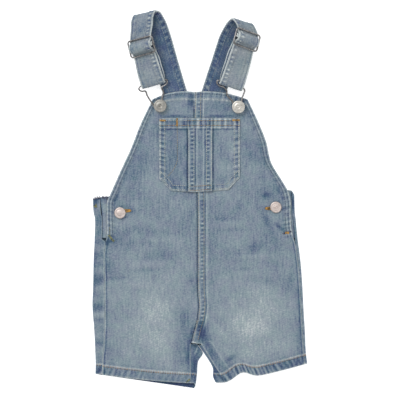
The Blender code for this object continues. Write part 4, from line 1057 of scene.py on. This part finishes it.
def sewnRow(path, pitch, gap=0.75, lift=0.15, normals=None, seed=0):
    # stitches at even steps of the path's length, each a little off line; gap is the share that shows
    knots = np.concatenate([[0], np.cumsum(np.linalg.norm(np.diff(path, axis=0), axis=1))])
    count = max(2, int(knots[-1] / pitch))
    middle = (np.arange(count) + 0.5) / count * knots[-1]
    rng = np.random.default_rng(seed)
    centres = readLine(middle, knots, path)
    ahead = readLine(middle + pitch / 2, knots, path) - readLine(middle - pitch / 2, knots, path)
    ahead = unit(ahead + rng.normal(0, 0.05, (count, 3)) * pitch * [1, 1, 0])
    up = upright(count) if normals is None else readLine(middle, knots, normals)
    up = unit(up - (up * ahead).sum(axis=1, keepdims=True) * ahead)
    return centres + up * lift, ahead, up, np.full(count, pitch * gap)


threads = {  # the worn colour, then the deeper one between the twists
    # the slate and umber rows are dark thread drawn as painted shade in the sewn holes of the hems
    "pale": ("#bdbfb4", "#8f979b"), "stone": ("#98a1a6", "#66717d"), "slate": ("#5f6c7b", "#3c495c"),
    "tan": ("#a39a86", "#6f6a66"), "gold": ("#b08f5c", "#706354"), "umber": ("#9a7c5e", "#54483f"),
    "blush": ("#bdaca4", "#94888a"), "honey": ("#bd8f42", "#6f5b3a"),
    "olive": ("#9a9a5e", "#3f4a3c"), "plum": ("#55536b", "#2c2b3d"),
}
sewn = {colour: [] for colour in threads}
stitch = {"pitch": 3.1, "width": 0.75}  # real thread is 0.4 mm; drawn 0.75 mm wide, or it would not show


def sew(colour, line, seed, pitch=stitch["pitch"], normals=None):
    # one more row of stitches in that thread
    sewn[colour].append(sewnRow(line, pitch, normals=normals, seed=seed))


# the slate and umber rows here are painted shade in the sewn holes
for grid, seed in ((frontLeft, 1), (frontRight, 2)):
    points = grid["points"]
    for d in cloth["sideRows"]:
        sew("slate", sideLine(points, grid["fromOuter"], d)[grid["outerY"] > -49], seed)
    for colour, d in zip(("slate", "stone"), cloth["topRows"]):
        sew(colour, lineAt(points[::-1], grid["fromTop"][::-1], d)[6:-3], seed)
    for colour, d in zip(("umber", "blush"), cloth["legRows"]):
        sew(colour, lineAt(points, grid["fromHem"], d), seed + 4)
# the umber row is painted shade in the sewn holes
for grid, seed in ((backLeft, 6), (backRight, 7)):
    for colour, d in zip(("umber", "blush"), cloth["legRows"]):
        line = lineAt(grid["points"], grid["fromHem"], d)
        for part in (line[2:15], line[-15:-2]):
            sew(colour, part, seed)
height = frontRight["innerY"]
for d in (1.6, 8.6):
    line = sideLine(frontRight["points"], frontRight["fromInner"], d, fromLast=True)
    for part in (line[height > 107], line[(height > -186) & (height <= 11)]):  # the pocket hides the rest
        sew("tan", part, 8)
for grid, number in ((pocketLeft, 0), (pocketRight, 1)):
    for d in (1.9, 7.2):
        sew("pale", sideLine(grid["points"], grid["sides"][number], d, fromLast=number == 1)[4:], 9, 2.7)
for number in (0, 1):
    for d in (1.7, 8.4):
        line = sideLine(pocketCentre["points"], pocketCentre["sides"][number], d, fromLast=number == 1)
        sew("pale", line[:-8], 10, 2.7)
for number, grid in enumerate((pocketLeft, pocketCentre, pocketRight)):
    for d in (2.9, 9.2):
        line = lineAt(grid["points"][::-1], grid["fromTop"][::-1], d)
        sew("gold" if number or d > 5 else "pale", line, 11 + number, 2.7)
    for d in (2.2, 7.6):
        line = lineAt(grid["points"], grid["fromFoot"], d)
        sew("gold" if number == 1 else "pale", line[2:-2], 14 + number, 2.7)


def onPanel(grid, path):
    # the panel's height at each point of a plan line, from its nearest grid point
    flat = grid["points"].reshape(-1, 3)
    path = np.asarray(path, float)
    nearest = ((flat[None, :, :2] - path[:, None]) ** 2).sum(axis=2).argmin(axis=1)
    return np.column_stack([path, flat[nearest, 2]])


pencilSlot = evenLine(((-30.3, 107), (-29.9, 66.5), (-30.6, 49.6), (-34.8, 40.4), (-42.4, 31.2)), 60)
sew("tan", onPanel(pocketLeft, pencilSlot), 20, 2.7)

for grid, seed in ((strapLeft, 30), (strapRight, 34)):
    for face, points in grid["faces"].items():
        for step in (1, -1):
            for d in (2.6, 8.4):
                line = sideLine(points[:, ::step][:, :16], grid["inside"][:, ::step][:, :16], d)
                sew("stone", line, seed, normals=face * grid["out"])


def barTack(grid, start, end, width, count):
    # close satin stitches across a short line
    path = onPanel(grid, np.linspace(start, end, count))
    ahead = unit(path[-1] - path[0])
    across = unit(np.cross((0.0, 0.0, 1.0), ahead))
    up = upright(count)
    return path + up * 0.25, np.repeat(across[None], count, axis=0), up, np.full(count, width)


def buttonhole(grid, start, end, width, count):
    # satin stitches square to an oval round the slit
    start, end = np.asarray(start, float), np.asarray(end, float)
    turn = np.linspace(0, 2 * math.pi, count, endpoint=False)[:, None]
    along = (end - start) / 2
    side = np.array([-along[1], along[0]]) / np.linalg.norm(along) * width / 2
    path = (start + end) / 2 + np.cos(turn) * along + np.sin(turn) * side
    outward = unit(np.cos(turn) * along / (along ** 2).sum() + np.sin(turn) * side / (side ** 2).sum())
    ahead = np.column_stack([outward, np.zeros(count)])
    return onPanel(grid, path) + upright(count) * 0.2, ahead, upright(count), np.full(count, 2.3)


def overlock(start, end, height, count, seed):
    # loops of thread thrown over a raw edge, square to it, each of its own length and slant
    rng = np.random.default_rng(seed)
    share = (np.arange(count) + rng.uniform(0.2, 0.8, count)) / count
    start, end = np.asarray(start, float), np.asarray(end, float)
    edge = unit(end - start)
    slant = rng.normal(0, 0.35, count)[:, None]
    ahead = unit(np.column_stack([np.array([-edge[1], edge[0]]) + slant * edge, np.zeros(count)]))
    centres = np.column_stack([start + share[:, None] * (end - start), np.full(count, height)])
    return centres, ahead, upright(count), rng.uniform(3.0, 6.5, count)


sewn["plum"] += [
    barTack(frontRight, (110.2, -44.6), (110.2, -43.6), 3.6, 2),
    barTack(frontRight, (119.0, -42.2), (119.0, -41.2), 3.4, 2),
    overlock((-141.8, 1.6), (-131.2, 3.9), 5.0, 9, 40),
    overlock((-130.0, 3.4), (-121.0, 3.4), 4.9, 6, 41),
]
sewn["olive"] += [
    overlock((-140.6, -8.4), (-136.0, -7.6), 5.0, 4, 42),
    barTack(frontLeft, (-120.2, -46.5), (-113.8, -54.2), 3.2, 9),
    barTack(frontLeft, (-119.2, -36.5), (-118.8, -46.0), 1.5, 6),
    barTack(frontLeft, (-18.0, -240.2), (-13.6, -236.4), 2.6, 6),
]
sewn["pale"].append(barTack(frontRight, (-4.0, -159.5), (-4.4, -167.5), 1.6, 6))
sewn["honey"] += [
    barTack(pocketLeft, (-52.8, 104.8), (-45.8, 104.8), 2.6, 12),
    barTack(pocketRight, (43.0, 105.2), (52.0, 105.2), 2.6, 14),
    barTack(pocketLeft, (-30.2, 107.4), (-30.2, 97.2), 2.4, 13),
    barTack(frontRight, (112.5, -43.3), (117.0, -43.3), 3.4, 8),
    buttonhole(frontLeft, (-104, -14.6), (-91.6, -14.0), 2.4, 44),
    buttonhole(frontRight, (100, -10.8), (86.4, -11.2), 2.4, 44),
]
for colour, rows in sewn.items():
    centres, ahead, up, length = (np.concatenate(parts) for parts in zip(*rows))
    stitchMesh(colour + "Stitching", centres, ahead, up, length, stitch["width"],
               spunThread(colour + "CottonThread", *threads[colour]))
    print("dungarees:", colour, "thread,", len(centres), "stitches")


# Floor, light and camera

studioSetup = {
    "paper": "#fbfbfb", "paperGlow": 0.45, "sky": 0.75,
    "lamps": {"keyLight": ((-0.9, 1.3, 1.7), 1.0, 26), "fillLight": ((1.4, -0.9, 1.6), 1.6, 8)},
}
shot = {"lens": 300, "sensor": 36, "width": 0.528}  # lens and sensor in mm, width of the floor seen in metres


def softLight(name, place, size, power):
    # a square lamp that faces the garment's middle
    lamp = bpy.data.lights.new(name, "AREA")
    lamp.energy, lamp.size = power, size
    source = bpy.data.objects.new(name, lamp)
    source.location = place
    x, y, z = place
    source.rotation_euler = (math.atan2(math.hypot(x, y), z), 0, math.atan2(-y, -x) - math.pi / 2)
    bpy.context.scene.collection.objects.link(source)


def studio():
    # lit paper just under the cloth: it glows a little, so that the shade beside the garment stays faint
    white = (1.0, 1.0, 1.0, 1.0)
    paper = {"Roughness": 0.9, "Base Color": hexColour(studioSetup["paper"]), "Emission Color": white,
             "Emission Strength": studioSetup["paperGlow"]}
    floorMaterial = newMaterial("palePaper", paper)[0]
    floorMesh = bpy.data.meshes.new("paperFloor")
    corners = [(x, y, -0.0004) for x, y in ((-3, -3), (3, -3), (3, 3), (-3, 3))]
    floorMesh.from_pydata(corners, [], [(0, 1, 2, 3)])
    floor = bpy.data.objects.new("paperFloor", floorMesh)
    floorMesh.materials.append(floorMaterial)
    bpy.context.scene.collection.objects.link(floor)
    world = bpy.data.worlds.new("softStudio")
    world.use_nodes = True
    sky = world.node_tree.nodes["Background"].inputs
    sky["Color"].default_value, sky["Strength"].default_value = white, studioSetup["sky"]
    bpy.context.scene.world = world
    for name, (place, size, power) in studioSetup["lamps"].items():
        softLight(name, place, size, power)
    bpy.context.scene.view_settings.view_transform = "Standard"


def camera():
    # straight down from far off: height = lens / sensor * the width of the floor that the photograph spans
    lens = bpy.data.cameras.new("camera")
    lens.lens, lens.sensor_width = shot["lens"], shot["sensor"]
    eye = bpy.data.objects.new("camera", lens)
    eye.location = (0.0, 0.0, shot["lens"] / shot["sensor"] * shot["width"])
    lens.clip_end = 100
    bpy.context.scene.collection.objects.link(eye)
    bpy.context.scene.camera = eye


studio()
camera()

# Cut sizes; the packed parts that the new pieces replace are hidden

cuts = {  # width and length of the finished panel in metres, how it lies, and what it lies on
    "backLeft": ((0.19, 0.38), "laid", ()),
    "backRight": ((0.19, 0.38), "laid", ()),
    "standLeft": ((0.016, 0.056), "laid", ("backLeft",)),
    "standRight": ((0.017, 0.064), "laid", ("backRight",)),
    "frontLeft": ((0.135, 0.39), "laid", ("backLeft", "standLeft")),
    "frontRight": ((0.155, 0.39), "laid", ("backRight", "standRight")),
    "pocketLeft": ((0.039, 0.1), "laid", ("frontLeft",)),
    "pocketCentre": ((0.038, 0.1), "laid", ("frontLeft", "frontRight")),
    "pocketRight": ((0.038, 0.1), "laid", ("frontRight",)),
    "strapLeft": ((0.036, strapLeft["length"] * mm), "folded", ("backLeft",)),
    "strapRight": ((0.036, strapRight["length"] * mm), "folded", ("backRight",)),
}


def nodeOf(name, kind=""):
    # frontLeft stands for the node front_left
    for place in ("Left", "Centre", "Right"):
        name = name.replace(place, kind + "_" + place.lower())
    return name


def clothArea(piece):
    # half the surface of a closed wall, in square metres
    areas = np.empty(len(piece.data.polygons), np.float32)
    piece.data.polygons.foreach_get("area", areas)
    return float(areas.sum()) / 2


for name, (flat, held, under) in cuts.items():
    piece = bpy.data.objects[name]
    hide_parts(nodeOf(name))
    clothArea(piece)
for name in ("sliderLeft", "sliderRight", "hookLeft", "hookRight"):
    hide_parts(nodeOf(name))
for name in buttons:
    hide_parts(nodeOf(name, "_button"))
